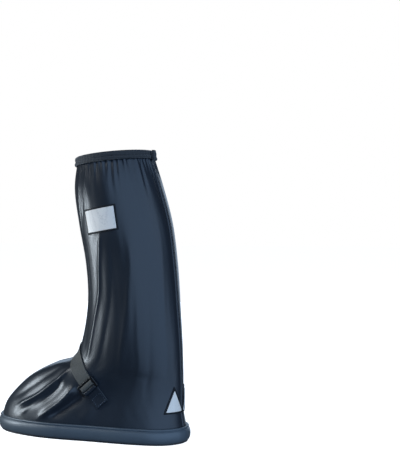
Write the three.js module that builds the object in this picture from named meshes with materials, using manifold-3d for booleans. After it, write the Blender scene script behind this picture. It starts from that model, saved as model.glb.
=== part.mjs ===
// Tall waterproof shoe cover for a left foot, standing on its own moulded sole.
// Toe towards -X, heel +X, outer side -Y, inner side +Y, ground at Z = 0.
import * as THREE from 'three';
import Module from 'manifold-3d';
import { mergeVertices } from 'three/addons/utils/BufferGeometryUtils.js';

// Driving sizes, in millimetres and degrees
const UPPER_LENGTH = 292;       // toe to heel of the upper where it enters the sole
const UPPER_WIDTH = 112;        // across the ball of the foot, at the same place
const COVER_HEIGHT = 386;       // top edge of the upper, at the middle of the leg opening
const CUFF_LENGTH = 105;        // leg opening, front to back
const CUFF_WIDTH = 101;         // leg opening, side to side
const CUFF_CENTRE = 39.5;       // leg opening's centre, behind the middle of the sole
const CUFF_TILT = 5.4;          // rise of the leg opening towards the back
const WALL = 1.6;               // coated fabric of the upper
const GAP = 0.3;                // clearance between neighbouring pieces
const FOLD_WIDTH = 11;          // from a fold's crest to its flank
const FOLD_HEIGHT = 5;          // of a main fold
const GATHER_DEPTH = 1.5;       // of the pleats under the cuff, each way
const GATHER_REACH = 34;        // how far the pleats run down from the cuff
const TREAD = 2;                // depth of the tread
const PLATE = 2;                // solid thickness of the outsole above its tread
const RIM_HEIGHT = 17.5;        // moulded band round the upper, above the outsole
const RIM_BULGE = 5.4;          // its thickness where it is fullest
const RIM_LIP = 2;              // how far it comes down over the outsole's edge
const OUTSOLE_OUT = 1.6;        // outsole's edge beyond the upper
const BAND_HEIGHT = 12;         // elastic binding of the leg opening
const BAND_THICK = 2.2;         // its thickness outside the upper
const BAND_COVER = 7;           // how far it covers the upper
const TAB_WIDTH = 9;            // turned end of the binding, at the back of the cuff
const TAB_HEIGHT = 15;
const TAB_THICK = 3.5;
const FILM = 0.6;               // reflective film
const BACKING = 0.8;            // black border under the film
const BORDER = 2.4;             // how far the border shows round the film
const PATCH_LENGTH = 46;        // reflective patch on the shaft
const PATCH_HEIGHT = 30;
const PATCH_TURN = 9;           // its slant
const PATCH_BACK = 47.5;        // its middle, behind the middle of the sole
const PATCH_UP = 300.5;         // and above the ground
const TRIANGLE_BASE = 25;       // reflective triangle beside the back seam
const TRIANGLE_HEIGHT = 28.5;
const WEBBING = 1.5;            // thickness of the strap and its anchor tabs
const STRAP_WIDTH = 20;
const STRAP_TURN = 49;          // slope of the strap, from the buckle up to the instep
const BUCKLE_BACK = 23.5;       // middle of the outer buckle, behind the middle of the sole
const BUCKLE_UP = 75;           // and above the ground
const INNER_SHORT = 9;          // how much nearer the instep the inner buckle sits
const ANCHOR_LENGTH = 33;       // outer anchor tab, from the buckle's middle to its sewn end
const INNER_ANCHOR = 25;        // the same on the inner side
const BUCKLE_RAIL = 3.4;        // side rails of the buckle
const BUCKLE_BAR = 3;           // its cross bars
const BUCKLE_THICK = 3.2;
const FRONT_SLOT = 2.6;         // slot that the strap comes up through
const REAR_SLOT = 4.4;          // slot shared by the strap and the anchor tab
const PLACKET_WIDTH = 38;       // sewn flap on the inner side, at its round lower end
const PLACKET_NECK = 27;        // its width at the top
const PLACKET = 1.2;            // its thickness
const PLACKET_BACK = 52;        // centre of its round end, behind the middle of the sole
const PLACKET_UP = 98;          // and above the ground
const PLACKET_LEAN = 8.5;       // its lean towards the front
const ZIP_WIDTH = 13;           // visible zip tape
const ZIP_LENGTH = 150;
const ZIP_TAPE = 0.8;
const COIL_WIDTH = 4.2;
const COIL = 1.2;
const SLIDER_LENGTH = 11;
const SLIDER_WIDTH = 8;
const SLIDER = 2.6;
const LOCK_LENGTH = 17;         // cord lock of the cuff's draw cord
const LOCK_WIDTH = 11;
const LOCK_THICK = 7;
const LOCK_BUTTON = 3;          // radius of its push button
const CORD_DIAMETER = 3;        // draw cord
const COLUMNS = 26;             // facets from the front seam to the back seam, each side

const CUTTER_DEPTH = 40;        // of the cutters that shape what lies on the upper
const FLOOR = TREAD + PLATE + GAP;

const rad = (degrees) => degrees * Math.PI / 180;
const mix = (a, b, share) => a + (b - a) * share;
const vec = (x, y, z) => new THREE.Vector3(x, y, z);

// Hoops of the upper from the sole to the leg opening. front and back are where a hoop meets
// the middle plane, as shares of UPPER_LENGTH; frontUp and backUp are their heights, as shares
// of COVER_HEIGHT; half is half the width, as a share of UPPER_WIDTH; foot runs from 1, the
// outline of a shoe, to 0, an oval.
const HOOPS = [
  { front: -0.491, frontUp: 0, back: 0.5, backUp: 0, half: 0.5, foot: 1 },
  { front: -0.488, frontUp: 0.045, back: 0.497, backUp: 0.045, half: 0.5, foot: 1 },
  { front: -0.466, frontUp: 0.092, back: 0.488, backUp: 0.087, half: 0.475, foot: 1 },
  { front: -0.412, frontUp: 0.139, back: 0.487, backUp: 0.12, half: 0.445, foot: 0.9 },
  { front: -0.322, frontUp: 0.196, back: 0.487, backUp: 0.157, half: 0.42, foot: 0.75 },
  { front: -0.193, frontUp: 0.243, back: 0.486, backUp: 0.203, half: 0.405, foot: 0.55 },
  { front: -0.07, frontUp: 0.276, back: 0.484, backUp: 0.25, half: 0.4, foot: 0.35 },
  { front: -0.028, frontUp: 0.352, back: 0.479, backUp: 0.34, half: 0.42, foot: 0.1 },
  { front: 0, frontUp: 0.48, back: 0.466, backUp: 0.463, half: 0.45, foot: 0 },
  { front: -0.006, frontUp: 0.612, back: 0.449, backUp: 0.612, half: 0.48, foot: 0 },
  { front: -0.038, frontUp: 0.755, back: 0.421, backUp: 0.763, half: 0.51, foot: 0 },
  { front: -0.062, frontUp: 0.885, back: 0.366, backUp: 0.905, half: 0.51, foot: 0 },
  {
    front: (CUFF_CENTRE - CUFF_LENGTH / 2) / UPPER_LENGTH,
    frontUp: 1 - Math.tan(rad(CUFF_TILT)) * CUFF_LENGTH / 2 / COVER_HEIGHT,
    back: (CUFF_CENTRE + CUFF_LENGTH / 2) / UPPER_LENGTH,
    backUp: 1 + Math.tan(rad(CUFF_TILT)) * CUFF_LENGTH / 2 / COVER_HEIGHT,
    half: CUFF_WIDTH / 2 / UPPER_WIDTH,
    foot: 0,
  },
];

// Half widths of the shoe outline round each side, as shares of the hoop's half width, by the
// angle from the toe (0) to the heel (180).
const SHOE_SIDE = [
  { turn: 0, outer: 0, inner: 0 },
  { turn: 30, outer: 0.64, inner: 0.7 },
  { turn: 52, outer: 0.93, inner: 0.96 },
  { turn: 75, outer: 1.03, inner: 0.95 },
  { turn: 100, outer: 0.9, inner: 0.78 },
  { turn: 125, outer: 0.79, inner: 0.74 },
  { turn: 152, outer: 0.55, inner: 0.53 },
  { turn: 180, outer: 0, inner: 0 },
];

// Rows of facets up the upper, closest together where it bends or gathers
const RISES = [0, 0.05, 0.09, 0.13, 0.17, 0.21, 0.26, 0.31, 0.36, 0.41, 0.46, 0.51, 0.57, 0.64,
  0.71, 0.78, 0.85, 0.905, 0.945, 0.98, 1];

// Folds: each runs through three places, given as turn (0 front seam, 180 back seam) and rise
// (0 sole, 1 leg opening). wide is a share of FOLD_WIDTH, high of FOLD_HEIGHT, below 0 a dent.
const OUTER_FOLDS = [
  { from: [82, 0.82], via: [62, 0.69], to: [52, 0.53], wide: 0.8, high: 1.15 },
  { from: [42, 0.84], via: [34, 0.68], to: [40, 0.54], wide: 1.2, high: -0.7 },
  { from: [92, 0.8], via: [78, 0.67], to: [76, 0.5], wide: 1.2, high: -0.9 },
  { from: [114, 0.81], via: [98, 0.66], to: [101, 0.4], wide: 1.1, high: 0.6 },
  { from: [131, 0.78], via: [126, 0.6], to: [128, 0.3], wide: 1.2, high: 0.35 },
  { from: [24, 0.42], via: [24, 0.31], to: [14, 0.2], wide: 1.2, high: 0.55 },
  { from: [42, 0.42], via: [42, 0.31], to: [30, 0.19], wide: 1, high: -0.9 },
  { from: [54, 0.43], via: [59, 0.3], to: [43, 0.165], wide: 0.8, high: 0.9 },
  { from: [62, 0.36], via: [66, 0.27], to: [52, 0.14], wide: 0.8, high: -0.7 },
  { from: [79, 0.33], via: [77, 0.24], to: [66, 0.1], wide: 0.9, high: 1 },
  { from: [88, 0.31], via: [85, 0.22], to: [72, 0.1], wide: 1, high: -0.8 },
];
const INNER_FOLDS = [
  { from: [20, 0.8], via: [26, 0.66], to: [30, 0.52], wide: 1.1, high: 0.6 },
  { from: [88, 0.88], via: [82, 0.7], to: [76, 0.5], wide: 1.3, high: -0.7 },
  { from: [118, 0.85], via: [112, 0.66], to: [104, 0.44], wide: 1.4, high: 0.6 },
  { from: [10, 0.43], via: [12, 0.32], to: [8, 0.2], wide: 1.1, high: 0.5 },
  { from: [36, 0.42], via: [40, 0.3], to: [30, 0.17], wide: 1.1, high: -0.7 },
  { from: [56, 0.38], via: [62, 0.26], to: [50, 0.13], wide: 1, high: 0.7 },
  { from: [76, 0.32], via: [78, 0.22], to: [68, 0.11], wide: 1, high: -0.6 },
];

// Smooth curve through evenly spaced values
function spline(values, at) {
  const last = values.length - 1;
  const i = Math.min(Math.floor(at), last - 1);
  const s = at - i;
  const p1 = values[i];
  const p2 = values[i + 1];
  const p0 = i > 0 ? values[i - 1] : 2 * p1 - p2;
  const p3 = i + 2 <= last ? values[i + 2] : 2 * p2 - p1;
  const bend = 2 * p0 - 5 * p1 + 4 * p2 - p3 + s * (3 * (p1 - p2) + p3 - p0);
  return p1 + 0.5 * s * (p2 - p0 + s * bend);
}

// Smooth curve through the rows of SHOE_SIDE
function shoeSide(name, turn) {
  const rows = SHOE_SIDE;
  let i = 0;
  while (i < rows.length - 2 && rows[i + 1].turn < turn) i += 1;
  const slope = (k) => {
    const a = rows[Math.max(k - 1, 0)];
    const b = rows[Math.min(k + 1, rows.length - 1)];
    return (b[name] - a[name]) / (b.turn - a.turn);
  };
  const span = rows[i + 1].turn - rows[i].turn;
  const s = (turn - rows[i].turn) / span;
  const rise = rows[i + 1][name] - rows[i][name];
  const m0 = slope(i) * span;
  const m1 = slope(i + 1) * span;
  return rows[i][name] + s * (m0 + s * (3 * rise - 2 * m0 - m1 + s * (m0 + m1 - 2 * rise)));
}

const hoopValue = (name, rise) => spline(HOOPS.map((row) => row[name]), rise * (HOOPS.length - 1));

// Point of the upper without its folds. side is -1 on the outer side and 1 on the inner side.
function basePoint(turn, rise, side) {
  const share = (1 - Math.cos(rad(turn))) / 2;
  const shoe = shoeSide(side < 0 ? 'outer' : 'inner', turn);
  const width = mix(Math.sin(rad(turn)), shoe, hoopValue('foot', rise));
  const up = mix(hoopValue('frontUp', rise), hoopValue('backUp', rise), share);
  return vec(
    mix(hoopValue('front', rise), hoopValue('back', rise), share) * UPPER_LENGTH,
    side * width * hoopValue('half', rise) * UPPER_WIDTH,
    FLOOR + up * (COVER_HEIGHT - FLOOR),
  );
}

const CUFF_AXIS = vec(-Math.sin(rad(CUFF_TILT)), 0, Math.cos(rad(CUFF_TILT)));

function baseNormal(turn, rise, side) {
  const step = 0.002;
  const low = Math.max(rise - step, 0);
  const high = Math.min(rise + step, 1);
  const t0 = Math.max(turn - 1, 0);
  const t1 = Math.min(turn + 1, 180);
  const round = basePoint(t1, rise, side).sub(basePoint(t0, rise, side));
  if (turn === 0 || turn === 180) round.set(0, turn === 0 ? side : -side, 0);
  const up = basePoint(turn, high, side).sub(basePoint(turn, low, side));
  const normal = round.cross(up).multiplyScalar(-side);
  if (rise === 0) normal.z = 0;
  if (rise === 1) normal.addScaledVector(CUFF_AXIS, -normal.dot(CUFF_AXIS));
  return normal.normalize();
}

// Turn and rise of the place on the smooth upper that shows at x and z from the side
function placeAt(x, z, side) {
  const step = 0.5;
  let turn = 90;
  let rise = z / COVER_HEIGHT;
  for (let i = 0; i < 20; i += 1) {
    const here = basePoint(turn, rise, side);
    const round = basePoint(turn + step, rise, side).sub(here).divideScalar(step);
    const up = basePoint(turn, rise + step / 100, side).sub(here).divideScalar(step / 100);
    const det = round.x * up.z - up.x * round.z;
    turn += ((x - here.x) * up.z - (z - here.z) * up.x) / det;
    rise += ((z - here.z) * round.x - (x - here.x) * round.z) / det;
    turn = THREE.MathUtils.clamp(turn, 10, 170);
    rise = THREE.MathUtils.clamp(rise, 0.05, 0.95);
  }
  return { turn, rise };
}

// The strap lies in one sloping plane through both buckles
const STRAP_ALONG = vec(Math.cos(rad(STRAP_TURN)), 0, -Math.sin(rad(STRAP_TURN)));
const STRAP_ACROSS = vec(Math.sin(rad(STRAP_TURN)), 0, Math.cos(rad(STRAP_TURN)));
const BUCKLE_SIDE = {
  '-1': { place: placeAt(BUCKLE_BACK, BUCKLE_UP, -1), tab: ANCHOR_LENGTH },
  '1': {
    place: placeAt(
      BUCKLE_BACK - INNER_SHORT * STRAP_ALONG.x,
      BUCKLE_UP - INNER_SHORT * STRAP_ALONG.z,
      1,
    ),
    tab: INNER_ANCHOR,
  },
};
for (const [side, row] of Object.entries(BUCKLE_SIDE)) {
  row.point = basePoint(row.place.turn, row.place.rise, Number(side));
}

// Rise of the place at a distance below the leg opening
function riseBelowCuff(turn, side, distance) {
  const top = basePoint(turn, 1, side);
  let low = 0;
  let high = 1;
  for (let i = 0; i < 30; i += 1) {
    const middle = (low + high) / 2;
    if (basePoint(turn, middle, side).distanceTo(top) > distance) low = middle;
    else high = middle;
  }
  return high;
}

// How much the strap and its tabs press the folds flat, from 0 to 1
function pressed(point, side) {
  const from = point.clone().sub(BUCKLE_SIDE[side].point);
  const across = from.dot(STRAP_ACROSS) / (0.85 * STRAP_WIDTH);
  const past = Math.max(from.dot(STRAP_ALONG) - BUCKLE_SIDE[side].tab, 0) / STRAP_WIDTH;
  return Math.exp(-(across ** 4) - past ** 2);
}

// Fold paths as short runs of points on the upper
function foldPath(fold, side) {
  const steps = 10;
  const points = [];
  for (let i = 0; i <= steps; i += 1) {
    const s = i / steps;
    const along = [0, 1].map((k) => {
      const bend = 2 * fold.via[k] - (fold.from[k] + fold.to[k]) / 2;
      return (1 - s) ** 2 * fold.from[k] + 2 * s * (1 - s) * bend + s ** 2 * fold.to[k];
    });
    points.push(basePoint(along[0], along[1], side));
  }
  return points;
}
const FOLD_PATHS = {
  '-1': OUTER_FOLDS.map((fold) => ({ fold, points: foldPath(fold, -1) })),
  '1': INNER_FOLDS.map((fold) => ({ fold, points: foldPath(fold, 1) })),
};

function distanceTo(points, point) {
  let best = Infinity;
  const nearest = new THREE.Vector3();
  for (let i = 0; i + 1 < points.length; i += 1) {
    new THREE.Line3(points[i], points[i + 1]).closestPointToPoint(point, true, nearest);
    best = Math.min(best, nearest.distanceTo(point));
  }
  return best;
}

// The folds die out above the moulded rim
const LEVEL_RISE = 0.05;

// Height of the surface above the smooth upper
function relief(turn, rise, side) {
  const point = basePoint(turn, rise, side);
  let folds = 0;
  for (const { fold, points } of FOLD_PATHS[side]) {
    const away = distanceTo(points, point) / (fold.wide * FOLD_WIDTH);
    folds += fold.high * FOLD_HEIGHT * Math.exp(-(away ** 2));
  }
  const middle = Math.sin(rad(turn)) ** 0.5;
  const above = THREE.MathUtils.smoothstep(rise, LEVEL_RISE, 2.5 * LEVEL_RISE);
  const below = basePoint(turn, 1, side).distanceTo(point);
  const fade = Math.exp(-((below / GATHER_REACH) ** 2)) * Math.min(1, below / BAND_COVER);
  const gathers = GATHER_DEPTH * fade * Math.cos(rad(turn) * COLUMNS);
  return folds * middle * above * (1 - pressed(point, side)) + gathers;
}

// Skin of the upper, standing out from its faceted surface by the given distance
function skinPoint(turn, rise, side, out) {
  const point = basePoint(turn, rise, side);
  const normal = baseNormal(turn, rise, side);
  point.addScaledVector(normal, relief(turn, rise, side) + out);
  point.y += turn === 0 || turn === 180 ? 0 : side * GAP / 2;
  return point;
}

const TURNS = Array.from({ length: COLUMNS + 1 }, (_, i) => i * 180 / COLUMNS);
// The same places all the way round, outer side first
const RING = [
  ...TURNS.map((turn) => [turn, -1]),
  ...TURNS.slice(1, -1).reverse().map((turn) => [turn, 1]),
];

// Mesh helpers
function meshFrom(points, faces) {
  const geometry = new THREE.BufferGeometry();
  const values = points.flatMap((p) => p.toArray());
  geometry.setAttribute('position', new THREE.Float32BufferAttribute(values, 3));
  geometry.setIndex(faces.flat());
  return outward(geometry);
}

// Turns the faces round if the body would be inside out
function outward(geometry) {
  const p = geometry.attributes.position;
  const index = geometry.index.array;
  const [a, b, c] = [vec(), vec(), vec()];
  let volume = 0;
  for (let i = 0; i < index.length; i += 3) {
    a.fromBufferAttribute(p, index[i]);
    b.fromBufferAttribute(p, index[i + 1]);
    c.fromBufferAttribute(p, index[i + 2]);
    volume += a.dot(b.cross(c));
  }
  if (volume < 0) {
    for (let i = 0; i < index.length; i += 3) [index[i], index[i + 1]] = [index[i + 1], index[i]];
  }
  return geometry;
}

// Body swept by a closed section along stations; closed joins the last station to the first
function loft(sections, closed) {
  const count = sections[0].length;
  const faces = [];
  const last = closed ? sections.length : sections.length - 1;
  for (let i = 0; i < last; i += 1) {
    const next = (i + 1) % sections.length;
    for (let k = 0; k < count; k += 1) {
      const k1 = (k + 1) % count;
      const corners = [i * count + k, next * count + k, next * count + k1, i * count + k1];
      faces.push([corners[0], corners[1], corners[2]], [corners[0], corners[2], corners[3]]);
    }
  }
  const points = sections.flat();
  if (!closed) {
    const ends = [[0, false], [(sections.length - 1) * count, true]];
    for (const [first, flip] of ends) {
      for (let k = 1; k + 1 < count; k += 1) {
        const face = [first, first + k, first + k + 1];
        faces.push(flip ? face.reverse() : face);
      }
    }
  }
  return meshFrom(points, faces);
}

// One side panel: outer skin and inner skin, joined round the edges
function sidePanel(side) {
  const sections = TURNS.map((turn) => {
    const skin = (out) => RISES.map((rise) => {
      const point = skinPoint(turn, rise, side, out);
      if (turn === 0 || turn === 180) point.y = side * GAP / 2;
      return point;
    });
    return [...skin(0), ...skin(-WALL).reverse()];
  });
  return gridSolid(sections);
}

// Like loft, but the two ends are strips between the skins, which need not be flat
function gridSolid(sections) {
  const count = sections[0].length;
  const rows = count / 2;
  const faces = [];
  for (let i = 0; i + 1 < sections.length; i += 1) {
    for (let k = 0; k < count; k += 1) {
      const k1 = (k + 1) % count;
      const corners = [i * count + k, (i + 1) * count + k, (i + 1) * count + k1, i * count + k1];
      faces.push([corners[0], corners[1], corners[2]], [corners[0], corners[2], corners[3]]);
    }
  }
  for (const [first, flip] of [[0, false], [(sections.length - 1) * count, true]]) {
    for (let k = 0; k + 1 < rows; k += 1) {
      const corners = [first + k, first + k + 1, first + count - 2 - k, first + count - 1 - k];
      const pair = [[corners[0], corners[1], corners[2]], [corners[0], corners[2], corners[3]]];
      faces.push(...pair.map((face) => (flip ? face.reverse() : face)));
    }
  }
  return meshFrom(sections.flat(), faces);
}

// Solids for cutting and joining
const wasm = await Module();
wasm.setup();

function solid(geometry) {
  const bare = geometry.clone();
  bare.deleteAttribute('normal');
  bare.deleteAttribute('uv');
  const merged = mergeVertices(bare, 1e-4);
  return new wasm.Manifold(new wasm.Mesh({
    numProp: 3,
    vertProperties: new Float32Array(merged.attributes.position.array),
    triVerts: new Uint32Array(merged.index.array),
  }));
}

function geometryOf(body) {
  const mesh = body.getMesh();
  const geometry = new THREE.BufferGeometry();
  geometry.setAttribute('position', new THREE.BufferAttribute(mesh.vertProperties, 3));
  geometry.setIndex(new THREE.BufferAttribute(mesh.triVerts, 1));
  return geometry;
}

// The whole upper as one filled body, grown by a distance
function filledUpper(out) {
  const count = RING.length;
  const below = RING.map(([turn, side]) => skinPoint(turn, 0, side, out).setZ(0));
  const rows = RISES.map((rise) => RING.map(([turn, side]) => skinPoint(turn, rise, side, out)));
  const points = [below, ...rows].flat();
  const faces = [];
  for (let row = 0; row < RISES.length; row += 1) {
    for (let k = 0; k < count; k += 1) {
      const k1 = (k + 1) % count;
      const corners = [row * count + k, row * count + k1, (row + 1) * count + k1, (row + 1) * count + k];
      const inner = RING[k][1] > 0 || k === TURNS.length - 1;
      faces.push(...(inner
        ? [[corners[0], corners[1], corners[3]], [corners[1], corners[2], corners[3]]]
        : [[corners[0], corners[1], corners[2]], [corners[0], corners[2], corners[3]]]));
    }
  }
  const caps = [[0, true], [RISES.length * count, false]];
  for (const [first, flip] of caps) {
    const centre = vec();
    for (let k = 0; k < count; k += 1) centre.addScaledVector(points[first + k], 1 / count);
    points.push(centre);
    for (let k = 0; k < count; k += 1) {
      const face = [points.length - 1, first + k, first + (k + 1) % count];
      faces.push(flip ? face.reverse() : face);
    }
  }
  return solid(meshFrom(points, faces));
}

const GROWN = new Map();
function grown(out) {
  if (!GROWN.has(out)) GROWN.set(out, filledUpper(out));
  return GROWN.get(out);
}
// Layer over the upper between two distances
const layer = (low, high) => grown(high).subtract(grown(low));

// Right-handed frame on the upper: x to the viewer's right, y up the shaft, z outwards
function frameAt(turn, rise, side, slant, out) {
  const normal = baseNormal(turn, rise, side);
  const right = vec(0, 0, 1).cross(normal).normalize();
  const up = normal.clone().cross(right);
  const spin = new THREE.Matrix4().makeRotationZ(rad(slant));
  const place = basePoint(turn, rise, side).addScaledVector(normal, out);
  return new THREE.Matrix4().makeBasis(right, up, normal).setPosition(place).multiply(spin);
}

// Prism of an outline, through the surface at a frame
function prism(shape, frame, depth) {
  const geometry = new THREE.ExtrudeGeometry(shape, { depth, bevelEnabled: false, curveSegments: 8 });
  return geometry.translate(0, 0, -depth / 2).applyMatrix4(frame);
}

function polygon(points) {
  return new THREE.Shape(points.map(([x, y]) => new THREE.Vector2(x, y)));
}

function rectangle(width, height) {
  const [x, y] = [width / 2, height / 2];
  return polygon([[-x, -y], [x, -y], [x, y], [-x, y]]);
}

// Rectangle with cut corners
function cutCorners([x0, x1], [y0, y1], cut) {
  return polygon([
    [x0 + cut, y0], [x1 - cut, y0], [x1, y0 + cut], [x1, y1 - cut],
    [x1 - cut, y1], [x0 + cut, y1], [x0, y1 - cut], [x0, y0 + cut],
  ]);
}

// Triangle with its apex up, grown by a border on every side
function triangle(base, height, border) {
  const flank = Math.hypot(base / 2, height);
  const apex = border * flank / (base / 2);
  const foot = border * (flank + base / 2) / height;
  const [x, y] = [base / 2 + foot, -height / 2 - border];
  return polygon([[-x, y], [x, y], [0, height / 2 + apex]]);
}

// Colours and finishes
const PVC = { color: 0x2c3a4a, roughness: 0.42, metalness: 0 };
const RIM = { color: 0x31404f, roughness: 0.5, metalness: 0 };
const BLACK = { color: 0x1b1c1e, roughness: 0.6, metalness: 0 };
const GLOSS = { color: 0x141516, roughness: 0.35, metalness: 0 };
const BAND = { color: 0x232629, roughness: 0.85, metalness: 0 };
const SILVER = { color: 0xb9c2cf, roughness: 0.35, metalness: 0.3 };
const GREY = { color: 0x4d504f, roughness: 0.85, metalness: 0 };

const cover = new THREE.Group();
function add(name, geometry, finish) {
  const mesh = new THREE.Mesh(geometry, new THREE.MeshStandardMaterial(finish));
  mesh.name = name;
  cover.add(mesh);
}

// Upper
add('outer_side_panel', sidePanel(-1), PVC);
add('inner_side_panel', sidePanel(1), PVC);

// Rim: a moulded band round the foot of the upper. out is a share of RIM_BULGE beyond the
// upper's skin, up a share of RIM_HEIGHT.
const RIM_SECTION = [
  { out: 0.56, up: -RIM_LIP / RIM_HEIGHT },
  { out: 0.84, up: 0.12 },
  { out: 1, up: 0.44 },
  { out: 0.8, up: 0.72 },
  { out: 0.52, up: 0.86 },
  { out: 0.4, up: 1 },
];
// Point of the sole's outline, standing out sideways from the foot of the upper
function outlinePoint(turn, side, out, z) {
  const point = skinPoint(turn, 0, side, 0);
  const normal = baseNormal(turn, 0, side).setZ(0).normalize();
  return point.addScaledVector(normal, out).setZ(z);
}

function rimGeometry() {
  const sections = RING.map(([turn, side]) => {
    const at = (out, z) => outlinePoint(turn, side, out, z);
    const face = RIM_SECTION.map(({ out, up }) => at(out * RIM_BULGE, FLOOR + up * RIM_HEIGHT));
    const seat = [at(OUTSOLE_OUT + GAP, FLOOR), at(OUTSOLE_OUT + GAP, FLOOR - RIM_LIP)];
    return [...seat, ...face, at(-WALL, FLOOR + RIM_HEIGHT), at(-WALL, FLOOR)];
  });
  return geometryOf(solid(loft(sections, true)).subtract(grown(GAP)));
}
add('sole_rim', rimGeometry(), RIM);

// Outsole: a plate with V-shaped tread bars, plain under the arch
const PAD_LENGTH = 46;
const PAD_WIDTH = 34;
const BAR_WIDTH = 5;
const BAR_PITCH = 12;
const BAR_TURN = 28;
// Stretches of tread, from and to as shares of UPPER_LENGTH
const TREAD_ZONES = [
  { from: -0.47, to: -0.15 },
  { from: 0.2, to: 0.46 },
];

function soleBlock(inset, low, high) {
  const out = OUTSOLE_OUT - inset;
  const section = (z) => RING.map(([turn, side]) => outlinePoint(turn, side, out, z));
  return solid(loft([section(low), section(high)], false));
}

function outsoleGeometry() {
  const plate = soleBlock(0, TREAD, TREAD + PLATE);
  let tread = solid(new THREE.BoxGeometry(PAD_LENGTH, PAD_WIDTH, 2 * TREAD).translate(0, 0, TREAD));
  const length = 0.75 * UPPER_WIDTH;
  for (const { from, to } of TREAD_ZONES) {
    const count = Math.floor((to - from) * UPPER_LENGTH / BAR_PITCH);
    for (let i = 0; i <= count; i += 1) {
      for (const side of [-1, 1]) {
        const bar = new THREE.BoxGeometry(BAR_WIDTH, length, 2 * TREAD);
        bar.translate(0, side * length / 2 + side * GAP, TREAD);
        bar.rotateZ(side * rad(BAR_TURN));
        bar.translate(from * UPPER_LENGTH + i * BAR_PITCH, 0, 0);
        tread = tread.add(solid(bar));
      }
    }
  }
  tread = tread.intersect(soleBlock(BORDER, 0, 1.5 * TREAD));
  const edge = soleBlock(0, 0, TREAD).subtract(soleBlock(BAR_WIDTH, -TREAD, 2 * TREAD));
  return geometryOf(plate.add(tread).add(edge));
}
add('outsole', outsoleGeometry(), BLACK);

// Cuff band: binding folded over the top edge, with a groove between its two rolls.
// out is a share of BAND_THICK beyond the skin, up is measured from the upper's top edge.
const BAND_OUT = GAP + GATHER_DEPTH;
const BAND_SECTION = [
  { out: 0, up: -BAND_COVER },
  { out: 0.75 * BAND_THICK, up: -BAND_COVER },
  { out: BAND_THICK, up: -0.8 * BAND_COVER },
  { out: 0.6 * BAND_THICK, up: -0.42 * BAND_COVER },
  { out: BAND_THICK, up: -0.1 * BAND_COVER },
  { out: BAND_THICK, up: 0.6 * (BAND_HEIGHT - BAND_COVER) },
  { out: 0.4 * BAND_THICK, up: BAND_HEIGHT - BAND_COVER },
  { out: -WALL - BAND_OUT - 0.6 * BAND_THICK, up: BAND_HEIGHT - BAND_COVER },
  { out: -WALL - BAND_OUT - BAND_THICK, up: GAP },
  { out: 0, up: GAP },
];

function bandPoint(turn, side, out, up) {
  const normal = baseNormal(turn, 1, side);
  const rise = up < 0 ? riseBelowCuff(turn, side, -up) : 1;
  const point = basePoint(turn, rise, side).addScaledVector(normal, BAND_OUT + out);
  return point.addScaledVector(CUFF_AXIS, Math.max(up, 0));
}
const bandSections = RING.map(([turn, side]) => {
  return BAND_SECTION.map(({ out, up }) => bandPoint(turn, side, out, up));
});
add('cuff_band', loft(bandSections, true), BAND);

// Turned end of the binding, at the back of the cuff
function cuffTab() {
  const frame = new THREE.Matrix4().makeBasis(vec(0, 1, 0), CUFF_AXIS, vec(0, 1, 0).cross(CUFF_AXIS));
  frame.setPosition(bandPoint(180, -1, BAND_THICK + GAP, -BAND_COVER));
  const shape = rectangle(TAB_WIDTH, TAB_HEIGHT);
  const geometry = new THREE.ExtrudeGeometry(shape, { depth: TAB_THICK, bevelEnabled: false });
  geometry.translate(0, BAND_HEIGHT - TAB_HEIGHT / 2, 0).applyMatrix4(frame);
  return geometryOf(solid(geometry).subtract(grown(GAP)));
}

// Everything that lies clear below the binding
function belowBand() {
  const box = new THREE.BoxGeometry(2 * UPPER_LENGTH, 2 * UPPER_WIDTH, COVER_HEIGHT);
  const top = COVER_HEIGHT - (BAND_COVER + 2 * GAP) / Math.cos(rad(CUFF_TILT));
  box.translate(0, 0, -COVER_HEIGHT / 2).rotateY(-rad(CUFF_TILT)).translate(CUFF_CENTRE, 0, top);
  return solid(box);
}
add('cuff_tab', cuffTab(), BAND);

// Reflective patch high on the outer side, and triangles beside the back seam
const TRIANGLE_AT = { turn: 165.2, rise: 0.292 };
const FILM_LOW = GAP + BACKING + GAP;
const UNDER = layer(GAP, GAP + BACKING);
const OVER = layer(FILM_LOW, FILM_LOW + FILM);
const applied = (body, shape, frame) => body.intersect(solid(prism(shape, frame, CUTTER_DEPTH)));

// Everything on one side of the seams
function half(side) {
  const box = new THREE.BoxGeometry(2 * UPPER_LENGTH, UPPER_WIDTH, 3 * COVER_HEIGHT);
  return solid(box.translate(0, side * (UPPER_WIDTH / 2 + GAP), 0));
}

const patchPlace = placeAt(PATCH_BACK, PATCH_UP, -1);
const patchFrame = frameAt(patchPlace.turn, patchPlace.rise, -1, PATCH_TURN, 0);
const backingShape = rectangle(PATCH_LENGTH + 2 * BORDER, PATCH_HEIGHT + 2 * BORDER);
add('reflector_backing', geometryOf(applied(UNDER, backingShape, patchFrame)), BLACK);
add('reflector_patch', geometryOf(applied(OVER, rectangle(PATCH_LENGTH, PATCH_HEIGHT), patchFrame)), SILVER);
for (const [name, side] of [['outer', -1], ['inner', 1]]) {
  const frame = frameAt(TRIANGLE_AT.turn, TRIANGLE_AT.rise, side, 0, 0);
  const backing = applied(UNDER, triangle(TRIANGLE_BASE, TRIANGLE_HEIGHT, BORDER), frame);
  const film = applied(OVER, triangle(TRIANGLE_BASE, TRIANGLE_HEIGHT, 0), frame);
  add(`heel_backing_${name}`, geometryOf(backing.intersect(half(side))), BLACK);
  add(`heel_triangle_${name}`, geometryOf(film.intersect(half(side))), SILVER);
}

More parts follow.
